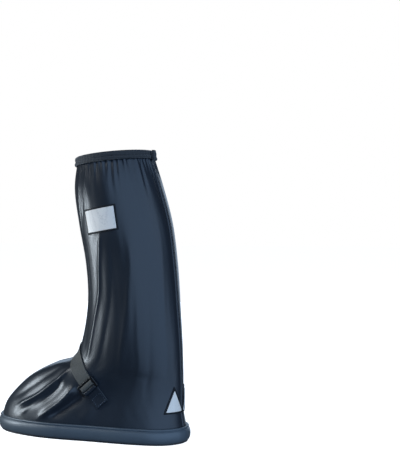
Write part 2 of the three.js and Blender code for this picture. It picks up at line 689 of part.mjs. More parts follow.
// Strap over the instep, in one sloping plane, with its buckles and sewn anchor tabs
function slab(from, to, width, side) {
  const reach = 2 * UPPER_WIDTH;
  const box = new THREE.BoxGeometry(to - from, reach, width);
  box.translate((from + to) / 2, side * reach / 2, 0);
  const axes = new THREE.Matrix4().makeBasis(STRAP_ALONG, vec(0, 1, 0), STRAP_ACROSS);
  const middle = BUCKLE_SIDE[side].point.clone().setY(0);
  return solid(box.applyMatrix4(axes.setPosition(middle)));
}

// Frame of a buckle: x along the strap towards its tab, y across it, z outwards
function buckleFrame(side) {
  const { place, point } = BUCKLE_SIDE[side];
  const normal = baseNormal(place.turn, place.rise, side);
  const along = STRAP_ALONG.clone().addScaledVector(normal, -normal.dot(STRAP_ALONG)).normalize();
  const across = normal.clone().cross(along);
  return new THREE.Matrix4().makeBasis(along, across, normal).setPosition(point);
}

const SLOT_WIDTH = STRAP_WIDTH + 4 * GAP;
const BUCKLE_WIDTH = SLOT_WIDTH + 2 * BUCKLE_RAIL;
const FRONT_SLOT_AT = -BUCKLE_BAR / 2 - FRONT_SLOT;
const REAR_SLOT_AT = BUCKLE_BAR / 2;
const REAR_BAR_AT = REAR_SLOT_AT + REAR_SLOT;
const BUCKLE_FROM = FRONT_SLOT_AT - BUCKLE_BAR;
const BUCKLE_TO = REAR_BAR_AT + BUCKLE_BAR;

// Highest point of the upper under a stiff piece, above the origin of the piece's frame
function highestUnder(frame, { turn, rise }, side, from, to, width) {
  const inverse = frame.clone().invert();
  const [aside, above] = [24, 0.14];
  let highest = 0;
  for (let t = Math.max(turn - aside, 0); t <= turn + aside; t += 2) {
    for (let r = rise - above; r <= Math.min(rise + above, 1); r += 0.02) {
      const point = skinPoint(t, r, side, 0).applyMatrix4(inverse);
      const inside = point.x > from && point.x < to && Math.abs(point.y) < width / 2;
      if (inside && point.z > -UPPER_WIDTH / 4) highest = Math.max(highest, point.z);
    }
  }
  return highest;
}
const BUCKLE_LOW = 3 * GAP + WEBBING + Math.max(...[-1, 1].map((side) => {
  const { place } = BUCKLE_SIDE[side];
  return highestUnder(buckleFrame(side), place, side, BUCKLE_FROM, BUCKLE_TO, BUCKLE_WIDTH);
}));
const BUCKLE_TOP = BUCKLE_LOW + BUCKLE_THICK;

function block([x0, x1], width, [z0, z1]) {
  const box = new THREE.BoxGeometry(x1 - x0, width, z1 - z0);
  return box.translate((x0 + x1) / 2, 0, (z0 + z1) / 2);
}

// Webbing that comes up through a slot, over a bar and down again, trimmed to the upper
function over(x0, x1, side) {
  const frame = buckleFrame(side);
  const top = BUCKLE_TOP + GAP;
  const reach = GAP + WEBBING;
  const outer = block([x0 - reach, x1 + reach], STRAP_WIDTH, [-WEBBING, top + WEBBING]);
  const inner = block([x0 - GAP, x1 + GAP], SLOT_WIDTH, [-2 * WEBBING, top]);
  const hump = solid(outer.applyMatrix4(frame)).subtract(solid(inner.applyMatrix4(frame)));
  return hump.subtract(grown(GAP));
}

function buckleGeometry(side) {
  const cut = BUCKLE_RAIL / 2;
  const shape = cutCorners([BUCKLE_FROM, BUCKLE_TO], [-BUCKLE_WIDTH / 2, BUCKLE_WIDTH / 2], cut);
  const frame = buckleFrame(side);
  const plate = new THREE.ExtrudeGeometry(shape, { depth: BUCKLE_THICK, bevelEnabled: false });
  let body = solid(plate.translate(0, 0, BUCKLE_LOW).applyMatrix4(frame));
  for (const slot of [[FRONT_SLOT_AT, -BUCKLE_BAR / 2], [REAR_SLOT_AT, REAR_BAR_AT]]) {
    const cutter = block(slot, SLOT_WIDTH, [BUCKLE_LOW - GAP, BUCKLE_TOP + GAP]);
    body = body.subtract(solid(cutter.applyMatrix4(frame)));
  }
  return geometryOf(body);
}

const WEB = layer(GAP, GAP + WEBBING);
const STRAP_END = BUCKLE_BAR / 2 + GAP + WEBBING;
const TAB_START = REAR_BAR_AT - GAP - WEBBING;
const OVER_INSTEP = -1.5 * UPPER_WIDTH;

const strapHalf = (side) => slab(OVER_INSTEP, STRAP_END, STRAP_WIDTH, side);
let strap = WEB.intersect(strapHalf(-1).add(strapHalf(1)));
for (const side of [-1, 1]) strap = strap.add(over(-BUCKLE_BAR / 2, BUCKLE_BAR / 2, side));
add('instep_strap', geometryOf(strap), GREY);

for (const [name, side] of [['outer', -1], ['inner', 1]]) {
  add(`buckle_${name}`, buckleGeometry(side), GLOSS);
  const tab = WEB.intersect(slab(TAB_START, BUCKLE_SIDE[side].tab, STRAP_WIDTH, side));
  add(`anchor_tab_${name}`, geometryOf(tab.add(over(REAR_BAR_AT, BUCKLE_TO, side))), PVC);
}

// Placket: a long flap on the inner side, round at its lower end and narrower at the top
const PLACKET_FOOT = vec(PLACKET_BACK, 0, PLACKET_UP);

function placketGeometry() {
  const length = (COVER_HEIGHT - PLACKET_UP) / Math.cos(rad(PLACKET_LEAN));
  const round = PLACKET_WIDTH / 2;
  const arc = Array.from({ length: 9 }, (_, i) => {
    const angle = Math.PI + i * Math.PI / 8;
    return [round * Math.cos(angle), round * Math.sin(angle)];
  });
  const shape = polygon([...arc, [PLACKET_NECK / 2, length], [-PLACKET_NECK / 2, length]]);
  const sideways = new THREE.Matrix4().makeBasis(vec(-1, 0, 0), vec(0, 0, 1), vec(0, 1, 0));
  sideways.setPosition(PLACKET_FOOT).multiply(new THREE.Matrix4().makeRotationZ(-rad(PLACKET_LEAN)));
  const flap = layer(GAP, GAP + PLACKET).intersect(solid(prism(shape, sideways, 2 * UPPER_WIDTH)));
  return geometryOf(flap.intersect(half(1)).intersect(belowBand()));
}
add('placket', placketGeometry(), PVC);

// Zip beside the front seam: tape, coil and slider
const ZIP_TURN = 15;
const ZIP_BELOW = BAND_COVER + GAP + ZIP_LENGTH / 2;
const zipFrame = frameAt(ZIP_TURN, riseBelowCuff(ZIP_TURN, 1, ZIP_BELOW), 1, 0, 0);
const ZIP_TOP = GAP + ZIP_TAPE;
const COIL_TOP = ZIP_TOP + GAP + COIL;
const tape = applied(layer(GAP, ZIP_TOP), rectangle(ZIP_WIDTH, ZIP_LENGTH), zipFrame);
const coilShape = rectangle(COIL_WIDTH, ZIP_LENGTH - ZIP_WIDTH);
const coil = applied(layer(ZIP_TOP + GAP, COIL_TOP), coilShape, zipFrame);
add('zip_tape', geometryOf(tape.intersect(belowBand())), BLACK);
add('zip_coil', geometryOf(coil), BLACK);

// Block with cut corners that stands on the upper, low above its highest place
function standing(shape, turn, below, low, thick, extra) {
  const rise = riseBelowCuff(turn, 1, below);
  const frame = frameAt(turn, rise, 1, 0, 0);
  const size = new THREE.Box2().setFromPoints(shape.getPoints());
  const width = size.max.y - size.min.y;
  const base = low + highestUnder(frame, { turn, rise }, 1, size.min.x, size.max.x, width);
  const plate = new THREE.ExtrudeGeometry(shape, { depth: thick, bevelEnabled: false });
  let body = solid(plate.translate(0, 0, base).applyMatrix4(frame));
  if (extra) body = body.add(solid(extra.translate(0, 0, base + thick).applyMatrix4(frame)));
  return geometryOf(body);
}


const SLIDER_BELOW = BAND_COVER + ZIP_WIDTH / 2 + SLIDER_LENGTH / 2 + GAP;
const around = (size) => [-size / 2, size / 2];
const sliderShape = cutCorners(around(SLIDER_WIDTH), around(SLIDER_LENGTH), SLIDER_WIDTH / 4);
add('zip_slider', standing(sliderShape, ZIP_TURN, SLIDER_BELOW, COIL_TOP + GAP, SLIDER), BLACK);

// Cord lock with its push button, under the cuff
const LOCK_TURN = 33;
const LOCK_BELOW = BAND_COVER + LOCK_LENGTH / 2 + 5 * GAP;
const button = new THREE.CylinderGeometry(LOCK_BUTTON, LOCK_BUTTON, LOCK_BUTTON, 12);
button.rotateX(Math.PI / 2);
const lockShape = cutCorners(around(LOCK_WIDTH), around(LOCK_LENGTH), LOCK_WIDTH / 4);
add('cord_lock', standing(lockShape, LOCK_TURN, LOCK_BELOW, GAP, LOCK_THICK, button), BLACK);

// Loop of the draw cord that hangs from the lock, as places chosen by hand
const CORD_POINTS = [
  [-12.9, 31.2, 357.3], [-13.2, 31.4, 354.6], [-13.6, 31.3, 351.6], [-14.2, 30.9, 348.1],
  [-15.0, 30.2, 344.1], [-15.8, 29.4, 339.6], [-16.4, 28.5, 335.1], [-16.9, 27.9, 330.6],
  [-17.0, 27.6, 326.1], [-16.7, 28.1, 322.1], [-15.6, 29.7, 319.0], [-14.1, 32.0, 317.2],
  [-12.2, 34.7, 317.3], [-10.5, 37.2, 319.2], [-9.4, 39.0, 322.4], [-9.0, 39.6, 326.6],
  [-9.2, 39.2, 331.1], [-9.7, 38.5, 335.6], [-10.3, 37.6, 340.1], [-10.8, 36.5, 344.6],
  [-11.0, 35.6, 348.6], [-11.1, 35.0, 351.6], [-11.1, 34.6, 354.6], [-10.7, 34.3, 357.3],
];
const cordPath = new THREE.CatmullRomCurve3(CORD_POINTS.map((point) => vec(...point)));
const cordSides = Array.from({ length: 8 }, (_, i) => {
  const angle = i * Math.PI / 4;
  return [CORD_DIAMETER / 2 * Math.cos(angle), CORD_DIAMETER / 2 * Math.sin(angle)];
});
const cordSettings = {
  extrudePath: cordPath,
  steps: Math.ceil(cordPath.getLength() / (2 * CORD_DIAMETER)),
  bevelEnabled: false,
};
add('draw_cord', new THREE.ExtrudeGeometry(polygon(cordSides), cordSettings), BLACK);

export default cover;
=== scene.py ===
# Tall waterproof shoe cover for a left foot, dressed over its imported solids. Lengths in the
# sections are millimetres, and each mesh is turned to metres where it is made.
import math

import bpy
import numpy as np
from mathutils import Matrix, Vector


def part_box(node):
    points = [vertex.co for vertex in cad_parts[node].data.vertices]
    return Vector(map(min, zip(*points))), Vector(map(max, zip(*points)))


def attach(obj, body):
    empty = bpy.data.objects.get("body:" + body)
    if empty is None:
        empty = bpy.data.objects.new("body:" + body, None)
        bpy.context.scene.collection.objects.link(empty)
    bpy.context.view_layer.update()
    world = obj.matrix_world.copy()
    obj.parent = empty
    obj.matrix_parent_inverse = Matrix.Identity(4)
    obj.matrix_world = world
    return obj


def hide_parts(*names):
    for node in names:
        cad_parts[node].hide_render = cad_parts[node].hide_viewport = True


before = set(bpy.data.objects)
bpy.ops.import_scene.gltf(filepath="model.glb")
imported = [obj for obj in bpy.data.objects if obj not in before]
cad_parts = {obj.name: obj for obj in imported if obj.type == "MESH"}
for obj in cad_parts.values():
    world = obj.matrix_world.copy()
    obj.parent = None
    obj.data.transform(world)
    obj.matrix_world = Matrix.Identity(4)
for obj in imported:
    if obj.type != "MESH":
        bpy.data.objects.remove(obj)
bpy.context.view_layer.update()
scene = bpy.context.scene

# Camera: level, 292 mm above the floor, beside the cover and a little behind it, so that the
# outer side and the heel both show.
camera = bpy.data.objects.new("camera", bpy.data.cameras.new("camera"))
camera.data.lens = 75.7
camera.location = (0.7075, -1.1541, 0.292)
camera.rotation_euler = (math.pi / 2, 0, math.radians(25))
scene.collection.objects.link(camera)
scene.camera = camera

# Draw cord: the loose loop of the cord that runs in the hem of the leg opening. It is braided
# from textured polyester over a rubber core, and both ends go up into the cord lock.
CORD_DIAMETER = 3
CORD_POINTS = [
    (-12.9, 31.2, 357.3), (-13.2, 31.4, 354.6), (-13.6, 31.3, 351.6), (-14.2, 30.9, 348.1),
    (-15.0, 30.2, 344.1), (-15.8, 29.4, 339.6), (-16.4, 28.5, 335.1), (-16.9, 27.9, 330.6),
    (-17.0, 27.6, 326.1), (-16.7, 28.1, 322.1), (-15.6, 29.7, 319.0), (-14.1, 32.0, 317.2),
    (-12.2, 34.7, 317.3), (-10.5, 37.2, 319.2), (-9.4, 39.0, 322.4), (-9.0, 39.6, 326.6),
    (-9.2, 39.2, 331.1), (-9.7, 38.5, 335.6), (-10.3, 37.6, 340.1), (-10.8, 36.5, 344.6),
    (-11.0, 35.6, 348.6), (-11.1, 35.0, 351.6), (-11.1, 34.6, 354.6), (-10.7, 34.3, 357.3),
]


def linear(code):
    """Linear colour of an sRGB hex value."""
    shares = [int(code[i:i + 2], 16) / 255 for i in (1, 3, 5)]
    return (*[s / 12.92 if s <= 0.04045 else ((s + 0.055) / 1.055) ** 2.4 for s in shares], 1)


def add_node(material, kind, settings=None, **inputs):
    """Adds a node; an input is a value or the output socket that it is linked to."""
    node = material.node_tree.nodes.new(kind)
    for name, value in (settings or {}).items():
        setattr(node, name, value)
    for name, value in inputs.items():
        words = name.split("_")
        plain = " ".join(words)
        socket = node.inputs[int(words[1])] if words[0] == "in" else node.inputs[plain]
        if isinstance(value, bpy.types.NodeSocket):
            material.node_tree.links.new(value, socket)
        else:
            socket.default_value = value
    return node


def new_material(name):
    """Empty material, and the object's own coordinates in metres, which its patterns lie in."""
    material = bpy.data.materials.new(name)
    material.use_nodes = True
    material.node_tree.nodes.clear()
    return material, add_node(material, "ShaderNodeTexCoord").outputs["Object"]


def finish_material(material, colour, height=None, strength=0, distance=0, **surface):
    """Surface of a colour, or of a share between two tones, with a height pressed into it."""
    if isinstance(colour, tuple):
        share, dark, light = colour
        colour = add_node(material, "ShaderNodeMix", {"data_type": "RGBA"}, in_0=share,
                          in_6=linear(dark), in_7=linear(light)).outputs[2]
    if height is not None:
        surface["Normal"] = add_node(material, "ShaderNodeBump", Strength=strength,
                                     Distance=distance, Height=height).outputs[0]
    shader = add_node(material, "ShaderNodeBsdfPrincipled", Base_Color=colour, **surface)
    add_node(material, "ShaderNodeOutputMaterial", Surface=shader.outputs[0])


# Braided polyester: 1.6 mm braids that cross on the round cord and give it a matte, ribbed look
braid, place = new_material("braided_polyester_cord")
strands = [
    add_node(braid, "ShaderNodeTexWave", {"bands_direction": way}, Vector=place,
             Scale=1000 / (1.6 * 6.28), Distortion=0.6)
    for way in ("DIAGONAL", "Z")
]
crossing = add_node(braid, "ShaderNodeMath", {"operation": "MULTIPLY"},
                    in_0=strands[0].outputs["Fac"], in_1=strands[1].outputs["Fac"]).outputs[0]
finish_material(braid, (crossing, "#2b2d31", "#5d6167"), crossing, 0.6, 0.0004, Roughness=0.8)

curve = bpy.data.curves.new("draw_cord_loop", "CURVE")
curve.dimensions = "3D"
curve.bevel_depth = CORD_DIAMETER / 2000
curve.bevel_resolution = 6
curve.use_fill_caps = True
line = curve.splines.new("BEZIER")
line.bezier_points.add(len(CORD_POINTS) - 1)
for knot, point in zip(line.bezier_points, CORD_POINTS):
    knot.co = Vector(point) / 1000
    knot.handle_left_type = knot.handle_right_type = "AUTO"
line.resolution_u = 6
draw_cord = bpy.data.objects.new("draw_cord_loop", curve)
scene.collection.objects.link(draw_cord)
curve.materials.append(braid)
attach(draw_cord, "root")
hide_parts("draw_cord")

# Floor and studio: a pale seamless floor under white light, dark surroundings, and soft lights
# whose long reflections draw the folds. The floor neither lights the cover nor hides a light.
floor_paint, _ = new_material("painted_studio_floor")
speckle = add_node(floor_paint, "ShaderNodeTexNoise", Scale=3, Detail=2).outputs["Fac"]
finish_material(floor_paint, (speckle, "#f4f4f5", "#fafafa"), Roughness=0.8,
                Emission_Color=(1, 1, 1, 1), Emission_Strength=0.93)
floor_mesh = bpy.data.meshes.new("studio_floor")
floor_mesh.from_pydata([(-12, -12, 0), (12, -12, 0), (12, 12, 0), (-12, 12, 0)], [], [(0, 1, 2, 3)])
floor = bpy.data.objects.new("studio_floor", floor_mesh)
floor_mesh.materials.append(floor_paint)
scene.collection.objects.link(floor)
floor.visible_diffuse = floor.visible_glossy = floor.visible_shadow = False

world = bpy.data.worlds.new("studio")
scene.world = world
world.use_nodes = True
backdrop = add_node(world, "ShaderNodeBackground", Color=(1, 1, 1, 1), Strength=1.0)
surround = add_node(world, "ShaderNodeBackground", Color=(0.85, 0.92, 1, 1), Strength=0.08)
seen = add_node(world, "ShaderNodeLightPath")
both = add_node(world, "ShaderNodeMixShader", in_0=seen.outputs["Is Camera Ray"],
                in_1=surround.outputs[0], in_2=backdrop.outputs[0])
world.node_tree.links.new(both.outputs[0], world.node_tree.nodes["World Output"].inputs[0])
scene.view_settings.view_transform = "Standard"


def area_light(name, place, aim, width, height, power, colour):
    """Soft box: places and sizes in metres, power in watts, colour as linear shares."""
    light = bpy.data.lights.new(name, "AREA")
    light.shape = "RECTANGLE"
    light.size, light.size_y = width, height
    light.energy = power
    light.color = colour
    lamp = bpy.data.objects.new(name, light)
    lamp.location = place
    lamp.rotation_euler = (Vector(aim) - Vector(place)).to_track_quat("-Z", "Y").to_euler()
    scene.collection.objects.link(lamp)


# Cool walls light the outer side and the heel. The strip and the key on the toe side draw the
# long highlights on the front folds, and the last light fills the inner side.
area_light("heel_side_wall", (1.35, -1.48, 0.6), (0, 0, 0.2), 3.67, 3.0, 46, (0.58, 0.87, 1.32))
area_light("back_side_wall", (1.99, 0.17, 0.5), (0, 0, 0.2), 0.7, 2.4, 7, (0.62, 0.88, 1.27))
area_light("toe_side_strip", (-0.49, -0.22, 0.17), (-0.03, -0.03, 0.17), 0.09, 0.26, 1.8,
           (0.86, 0.97, 1.06))
area_light("toe_side_key", (-1.06, -0.89, 1.2), (-0.06, 0, 0.08), 0.5, 0.4, 5, (0.95, 0.99, 1))
area_light("inner_side_wall", (-0.6, 1.96, 0.8), (0, 0, 0.2), 2.4, 2.4, 22, (0.7, 0.9, 1.15))


# Upper: two mirror-like side panels of coated cloth, welded to each other along the front and
# the back, gathered into the leg opening and set into the moulded rim of the sole.
UPPER_LENGTH = 292
UPPER_WIDTH = 112
COVER_HEIGHT = 386  # at the middle of the leg opening, without its binding
CUFF_LENGTH = 105
CUFF_WIDTH = 101
CUFF_CENTRE = 39.5
CUFF_TILT = math.radians(5.4)
WALL = 1.6
FLOOR_HEIGHT = 4.3

# Hoops from the sole to the leg opening: front, its height, back, its height, half the width,
# and how much of a shoe's outline the hoop has
HOOPS = np.array([
    (-0.491, 0, 0.5, 0, 0.5, 1),
    (-0.488, 0.045, 0.497, 0.045, 0.5, 1),
    (-0.466, 0.092, 0.488, 0.087, 0.475, 1),
    (-0.412, 0.139, 0.487, 0.12, 0.445, 0.9),
    (-0.322, 0.196, 0.487, 0.157, 0.42, 0.75),
    (-0.193, 0.243, 0.486, 0.203, 0.405, 0.55),
    (-0.07, 0.276, 0.484, 0.25, 0.4, 0.35),
    (-0.028, 0.352, 0.479, 0.34, 0.42, 0.1),
    (0, 0.48, 0.466, 0.463, 0.45, 0),
    (-0.006, 0.612, 0.449, 0.612, 0.48, 0),
    (-0.038, 0.755, 0.421, 0.763, 0.51, 0),
    (-0.062, 0.885, 0.366, 0.905, 0.51, 0),
    (
        (CUFF_CENTRE - CUFF_LENGTH / 2) / UPPER_LENGTH,
        1 - math.tan(CUFF_TILT) * CUFF_LENGTH / 2 / COVER_HEIGHT,
        (CUFF_CENTRE + CUFF_LENGTH / 2) / UPPER_LENGTH,
        1 + math.tan(CUFF_TILT) * CUFF_LENGTH / 2 / COVER_HEIGHT,
        CUFF_WIDTH / 2 / UPPER_WIDTH,
        0,
    ),
])
# Half widths of the shoe's outline by the angle from the toe: angle, outer side, inner side
SHOE_SIDE = np.array([
    (0, 0, 0),
    (30, 0.64, 0.7),
    (52, 0.93, 0.96),
    (75, 1.03, 0.95),
    (100, 0.9, 0.78),
    (125, 0.79, 0.74),
    (152, 0.55, 0.53),
    (180, 0, 0),
])


def spline(values, at):
    """Smooth curve through evenly spaced values."""
    last = len(values) - 1
    i = np.minimum(np.floor(at).astype(int), last - 1)
    s = at - i
    p1, p2 = values[i], values[i + 1]
    p0 = np.where(i > 0, values[np.maximum(i - 1, 0)], 2 * p1 - p2)
    p3 = np.where(i + 2 <= last, values[np.minimum(i + 2, last)], 2 * p2 - p1)
    bend = 2 * p0 - 5 * p1 + 4 * p2 - p3 + s * (3 * (p1 - p2) + p3 - p0)
    return p1 + 0.5 * s * (p2 - p0 + s * bend)


def shoe_side(column, turn):
    """Smooth curve through the rows of SHOE_SIDE."""
    angle, value = SHOE_SIDE[:, 0], SHOE_SIDE[:, column]
    slope = np.empty(len(angle))
    slope[1:-1] = (value[2:] - value[:-2]) / (angle[2:] - angle[:-2])
    slope[0] = (value[1] - value[0]) / (angle[1] - angle[0])
    slope[-1] = (value[-1] - value[-2]) / (angle[-1] - angle[-2])
    i = np.clip(np.searchsorted(angle, turn) - 1, 0, len(angle) - 2)
    span = angle[i + 1] - angle[i]
    s = (turn - angle[i]) / span
    rise = value[i + 1] - value[i]
    m0, m1 = slope[i] * span, slope[i + 1] * span
    return value[i] + s * (m0 + s * (3 * rise - 2 * m0 - m1 + s * (m0 + m1 - 2 * rise)))


def base(turn, rise, side):
    """Place on the smooth upper: turn 0 is the front seam, 180 the back one; side -1 is outer."""
    turn, rise = np.broadcast_arrays(np.asarray(turn, float), np.asarray(rise, float))
    front, front_up, back, back_up, half, foot = [
        spline(column, rise * (len(HOOPS) - 1)) for column in HOOPS.T]
    share = (1 - np.cos(np.radians(turn))) / 2
    shoe = shoe_side(1 if side < 0 else 2, turn)
    width = np.sin(np.radians(turn)) * (1 - foot) + shoe * foot
    up = front_up + (back_up - front_up) * share
    return np.stack([
        (front + (back - front) * share) * UPPER_LENGTH,
        side * width * half * UPPER_WIDTH,
        FLOOR_HEIGHT + up * (COVER_HEIGHT - FLOOR_HEIGHT),
    ], -1)


CUFF_AXIS = np.array([-math.sin(CUFF_TILT), 0, math.cos(CUFF_TILT)])


def normal(turn, rise, side):
    """Direction straight out of the smooth upper."""
    turn, rise = np.broadcast_arrays(np.asarray(turn, float), np.asarray(rise, float))
    low, high = np.maximum(rise - 0.002, 0), np.minimum(rise + 0.002, 1)
    t0, t1 = np.maximum(turn - 1, 0), np.minimum(turn + 1, 180)
    around = base(t1, rise, side) - base(t0, rise, side)
    around[turn <= 0] = (0, side, 0)
    around[turn >= 180] = (0, -side, 0)
    out = np.cross(around, base(turn, high, side) - base(turn, low, side)) * -side
    out[rise <= 0, 2] = 0
    top = rise >= 1
    out[top] -= (out[top] @ CUFF_AXIS)[:, None] * CUFF_AXIS
    return out / np.linalg.norm(out, axis=-1, keepdims=True)


# The strap's sloping plane and the places of the two buckles, which hold the cloth flat
STRAP_WIDTH = 20
STRAP_TURN = math.radians(49)
STRAP_ALONG = np.array([math.cos(STRAP_TURN), 0, -math.sin(STRAP_TURN)])
STRAP_ACROSS = np.array([math.sin(STRAP_TURN), 0, math.cos(STRAP_TURN)])
BUCKLE_PLACE = {-1: (23.5, 75, 33), 1: (23.5 - 9 * STRAP_ALONG[0], 75 - 9 * STRAP_ALONG[2], 25)}


def place_at(x, z, side):
    """Turn and rise of the place on the smooth upper that shows at x and z from the side."""
    x, z = np.broadcast_arrays(np.asarray(x, float), np.asarray(z, float))
    turn, rise = np.full(x.shape, 90.0), z / COVER_HEIGHT
    for _ in range(20):
        here = base(turn, rise, side)
        around = (base(turn + 0.5, rise, side) - here) / 0.5
        up = (base(turn, rise + 0.005, side) - here) / 0.005
        det = around[..., 0] * up[..., 2] - up[..., 0] * around[..., 2]
        dx, dz = x - here[..., 0], z - here[..., 2]
        step = np.clip((dx * up[..., 2] - dz * up[..., 0]) / det, -20, 20)
        climb = np.clip((dz * around[..., 0] - dx * around[..., 2]) / det, -0.08, 0.08)
        turn, rise = np.clip(turn + step, 6, 174), np.clip(rise + climb, 0.03, 0.995)
    return turn, rise


# The welded patch is stiff and holds the cloth under it flat: its middle as it shows from the
# side, that place on the upper, and how far the flattening reaches along and up
PATCH_MIDDLE = (47.5, 300.5)
PATCH_SLANT = 9
PATCH_PLACE = base(*place_at(*PATCH_MIDDLE, -1), -1)
PATCH_REACH = (31, 24)
BUCKLE = {}
for side, (x, z, tab) in BUCKLE_PLACE.items():
    turn, rise = place_at(x, z, side)
    BUCKLE[side] = {"turn": float(turn), "rise": float(rise), "tab": tab,
                    "point": base(turn, rise, side), "normal": normal(turn, rise, side)}


def pressed(points, side):
    """How much the strap and its tabs press the folds flat, from 0 to 1."""
    away = points - BUCKLE[side]["point"]
    across = away @ STRAP_ACROSS / (0.85 * STRAP_WIDTH)
    past = np.maximum(away @ STRAP_ALONG - BUCKLE[side]["tab"], 0) / STRAP_WIDTH
    return np.exp(-across ** 4 - past ** 2)


def patch_flat(points, side):
    """How much the welded patch flattens the folds, from 0 to 1."""
    if side > 0:
        return np.zeros(points.shape[:-1])
    away = points - PATCH_PLACE
    along = away[..., 0] / PATCH_REACH[0]
    slant = 0.16 * away[..., 0]
    up = (away[..., 2] - slant) / PATCH_REACH[1]
    return 0.85 * np.exp(-along ** 6 - up ** 6)


# Folds: places as (turn, rise), width towards the front seam, width towards the back seam and
# height of the crest, below 0 for a dent
FOLDS = {
    -1: [
        ([(88, 0.86), (79, 0.805), (71, 0.75), (66, 0.69), (58, 0.63), (55, 0.56), (55, 0.49)],
         3.2, 3.8, 1.9),
        ([(42, 0.84), (36, 0.76), (33, 0.68), (36, 0.6), (42, 0.53)], 11, 10, -3.2),
        ([(98, 0.83), (91, 0.76), (86, 0.7), (80, 0.64), (74, 0.56), (74, 0.47), (80, 0.38)], 7, 14, -1.5),
        ([(120, 0.83), (114, 0.755), (107, 0.69), (101, 0.62), (97, 0.54), (102, 0.42)], 8, 14, 1.6),
        ([(122, 0.78), (117, 0.67), (116, 0.55), (122, 0.36)], 5, 7, 0.5),
        ([(136, 0.8), (131, 0.66), (128, 0.52), (134, 0.3)], 5, 6, -0.7),
        ([(157, 0.82), (152, 0.68), (150, 0.52), (152, 0.32)], 5, 5, 0.9),
        ([(56, 0.985), (55, 0.92), (47, 0.85), (43, 0.79)], 1.6, 1.8, 1.1),
        ([(64, 0.98), (61, 0.9), (53, 0.84)], 2, 2, -1.1),
        ([(33, 0.49), (31, 0.43), (33, 0.37), (30, 0.31)], 6, 6, 0.8),
        ([(24, 0.42), (25, 0.34), (24, 0.28), (18, 0.21)], 10, 10, 1.4),
        ([(42, 0.43), (45, 0.35), (41, 0.27), (32, 0.2)], 8, 8, -2.2),
        ([(53, 0.44), (61, 0.37), (61, 0.31), (58, 0.25), (52, 0.2), (45, 0.16)], 3, 5, 3.2),
        ([(63, 0.37), (68, 0.3), (63, 0.21), (52, 0.13)], 6, 5, -3.2),
        ([(80, 0.34), (80, 0.265), (77, 0.185), (68, 0.1)], 6, 5, 5),
        ([(90, 0.34), (88, 0.27), (83, 0.19), (74, 0.1)], 6, 9, -4),
        ([(66, 0.25), (60, 0.18), (52, 0.11)], 3, 4, 1.6),
        ([(104, 0.27), (100, 0.18), (94, 0.1)], 9, 12, 1.2),
    ],
    1: [
        ([(20, 0.82), (24, 0.72), (27, 0.62), (30, 0.52)], 8, 12, 3),
        ([(90, 0.88), (84, 0.76), (79, 0.62), (76, 0.5)], 9, 14, -3.4),
        ([(120, 0.86), (114, 0.72), (109, 0.58), (104, 0.44)], 9, 14, 3),
        ([(140, 0.8), (136, 0.6), (138, 0.36)], 6, 9, -1.6),
        ([(154, 0.82), (150, 0.6), (152, 0.3)], 5, 8, 1.2),
        ([(10, 0.44), (12, 0.36), (11, 0.28), (8, 0.2)], 8, 10, 2.4),
        ([(36, 0.44), (40, 0.36), (38, 0.26), (30, 0.17)], 7, 10, -3.5),
        ([(56, 0.4), (62, 0.32), (59, 0.22), (50, 0.13)], 6, 9, 3.8),
        ([(76, 0.34), (78, 0.26), (75, 0.18), (68, 0.11)], 7, 10, -3),
        ([(92, 0.3), (92, 0.22), (86, 0.12)], 7, 9, 2),
        ([(60, 0.92), (58, 0.8), (56, 0.66)], 5, 8, -1.4),
    ],
}
# Pleats under the leg opening: turn, depth, width and how far down each runs
pleat_seed = np.random.default_rng(7)
PLEATS = {}
for side in (-1, 1):
    turns = np.cumsum(pleat_seed.uniform(4, 9, 30)) - 3
    turns = turns[turns < 176]
    PLEATS[side] = np.stack([
        turns,
        pleat_seed.uniform(1.6, 3.1, len(turns)),
        pleat_seed.uniform(1.1, 2.2, len(turns)),
        pleat_seed.uniform(16, 44, len(turns)),
    ], -1)


def smooth(low, high, value):
    """Soft step from 0 at low to 1 at high."""
    s = np.clip((value - low) / (high - low), 0, 1)
    return s * s * (3 - 2 * s)


def fold_relief(points, turn, side):
    """Height that the folds of a side give the cloth at points on the smooth upper."""
    height = np.zeros(turn.shape)
    for places, front, back, high in FOLDS[side]:
        steps = np.linspace(0, len(places) - 1, 4 * len(places))
        along = [spline(np.array([p[k] for p in places], float), steps) for k in (0, 1)]
        path = base(along[0], along[1], side)
        nearest = np.full(turn.shape, 1e9)
        share, path_turn = np.zeros(turn.shape), np.zeros(turn.shape)
        for i in range(len(path) - 1):
            a, run = path[i], path[i + 1] - path[i]
            s = np.clip((points - a) @ run / (run @ run), 0, 1)
            away = np.linalg.norm(points - a - s[..., None] * run, axis=-1)
            closer = away < nearest
            nearest = np.where(closer, away, nearest)
            share = np.where(closer, (i + s) / (len(path) - 1), share)
            path_turn = np.where(closer, along[0][i] * (1 - s) + along[0][i + 1] * s, path_turn)
        width = front + (back - front) * smooth(-3, 3, turn - path_turn)
        ends = smooth(0, 0.22, share) * smooth(1, 0.78, share) * 0.85 + 0.15
        height += high * ends / (1 + (nearest / width) ** 2) ** 1.5
    return height


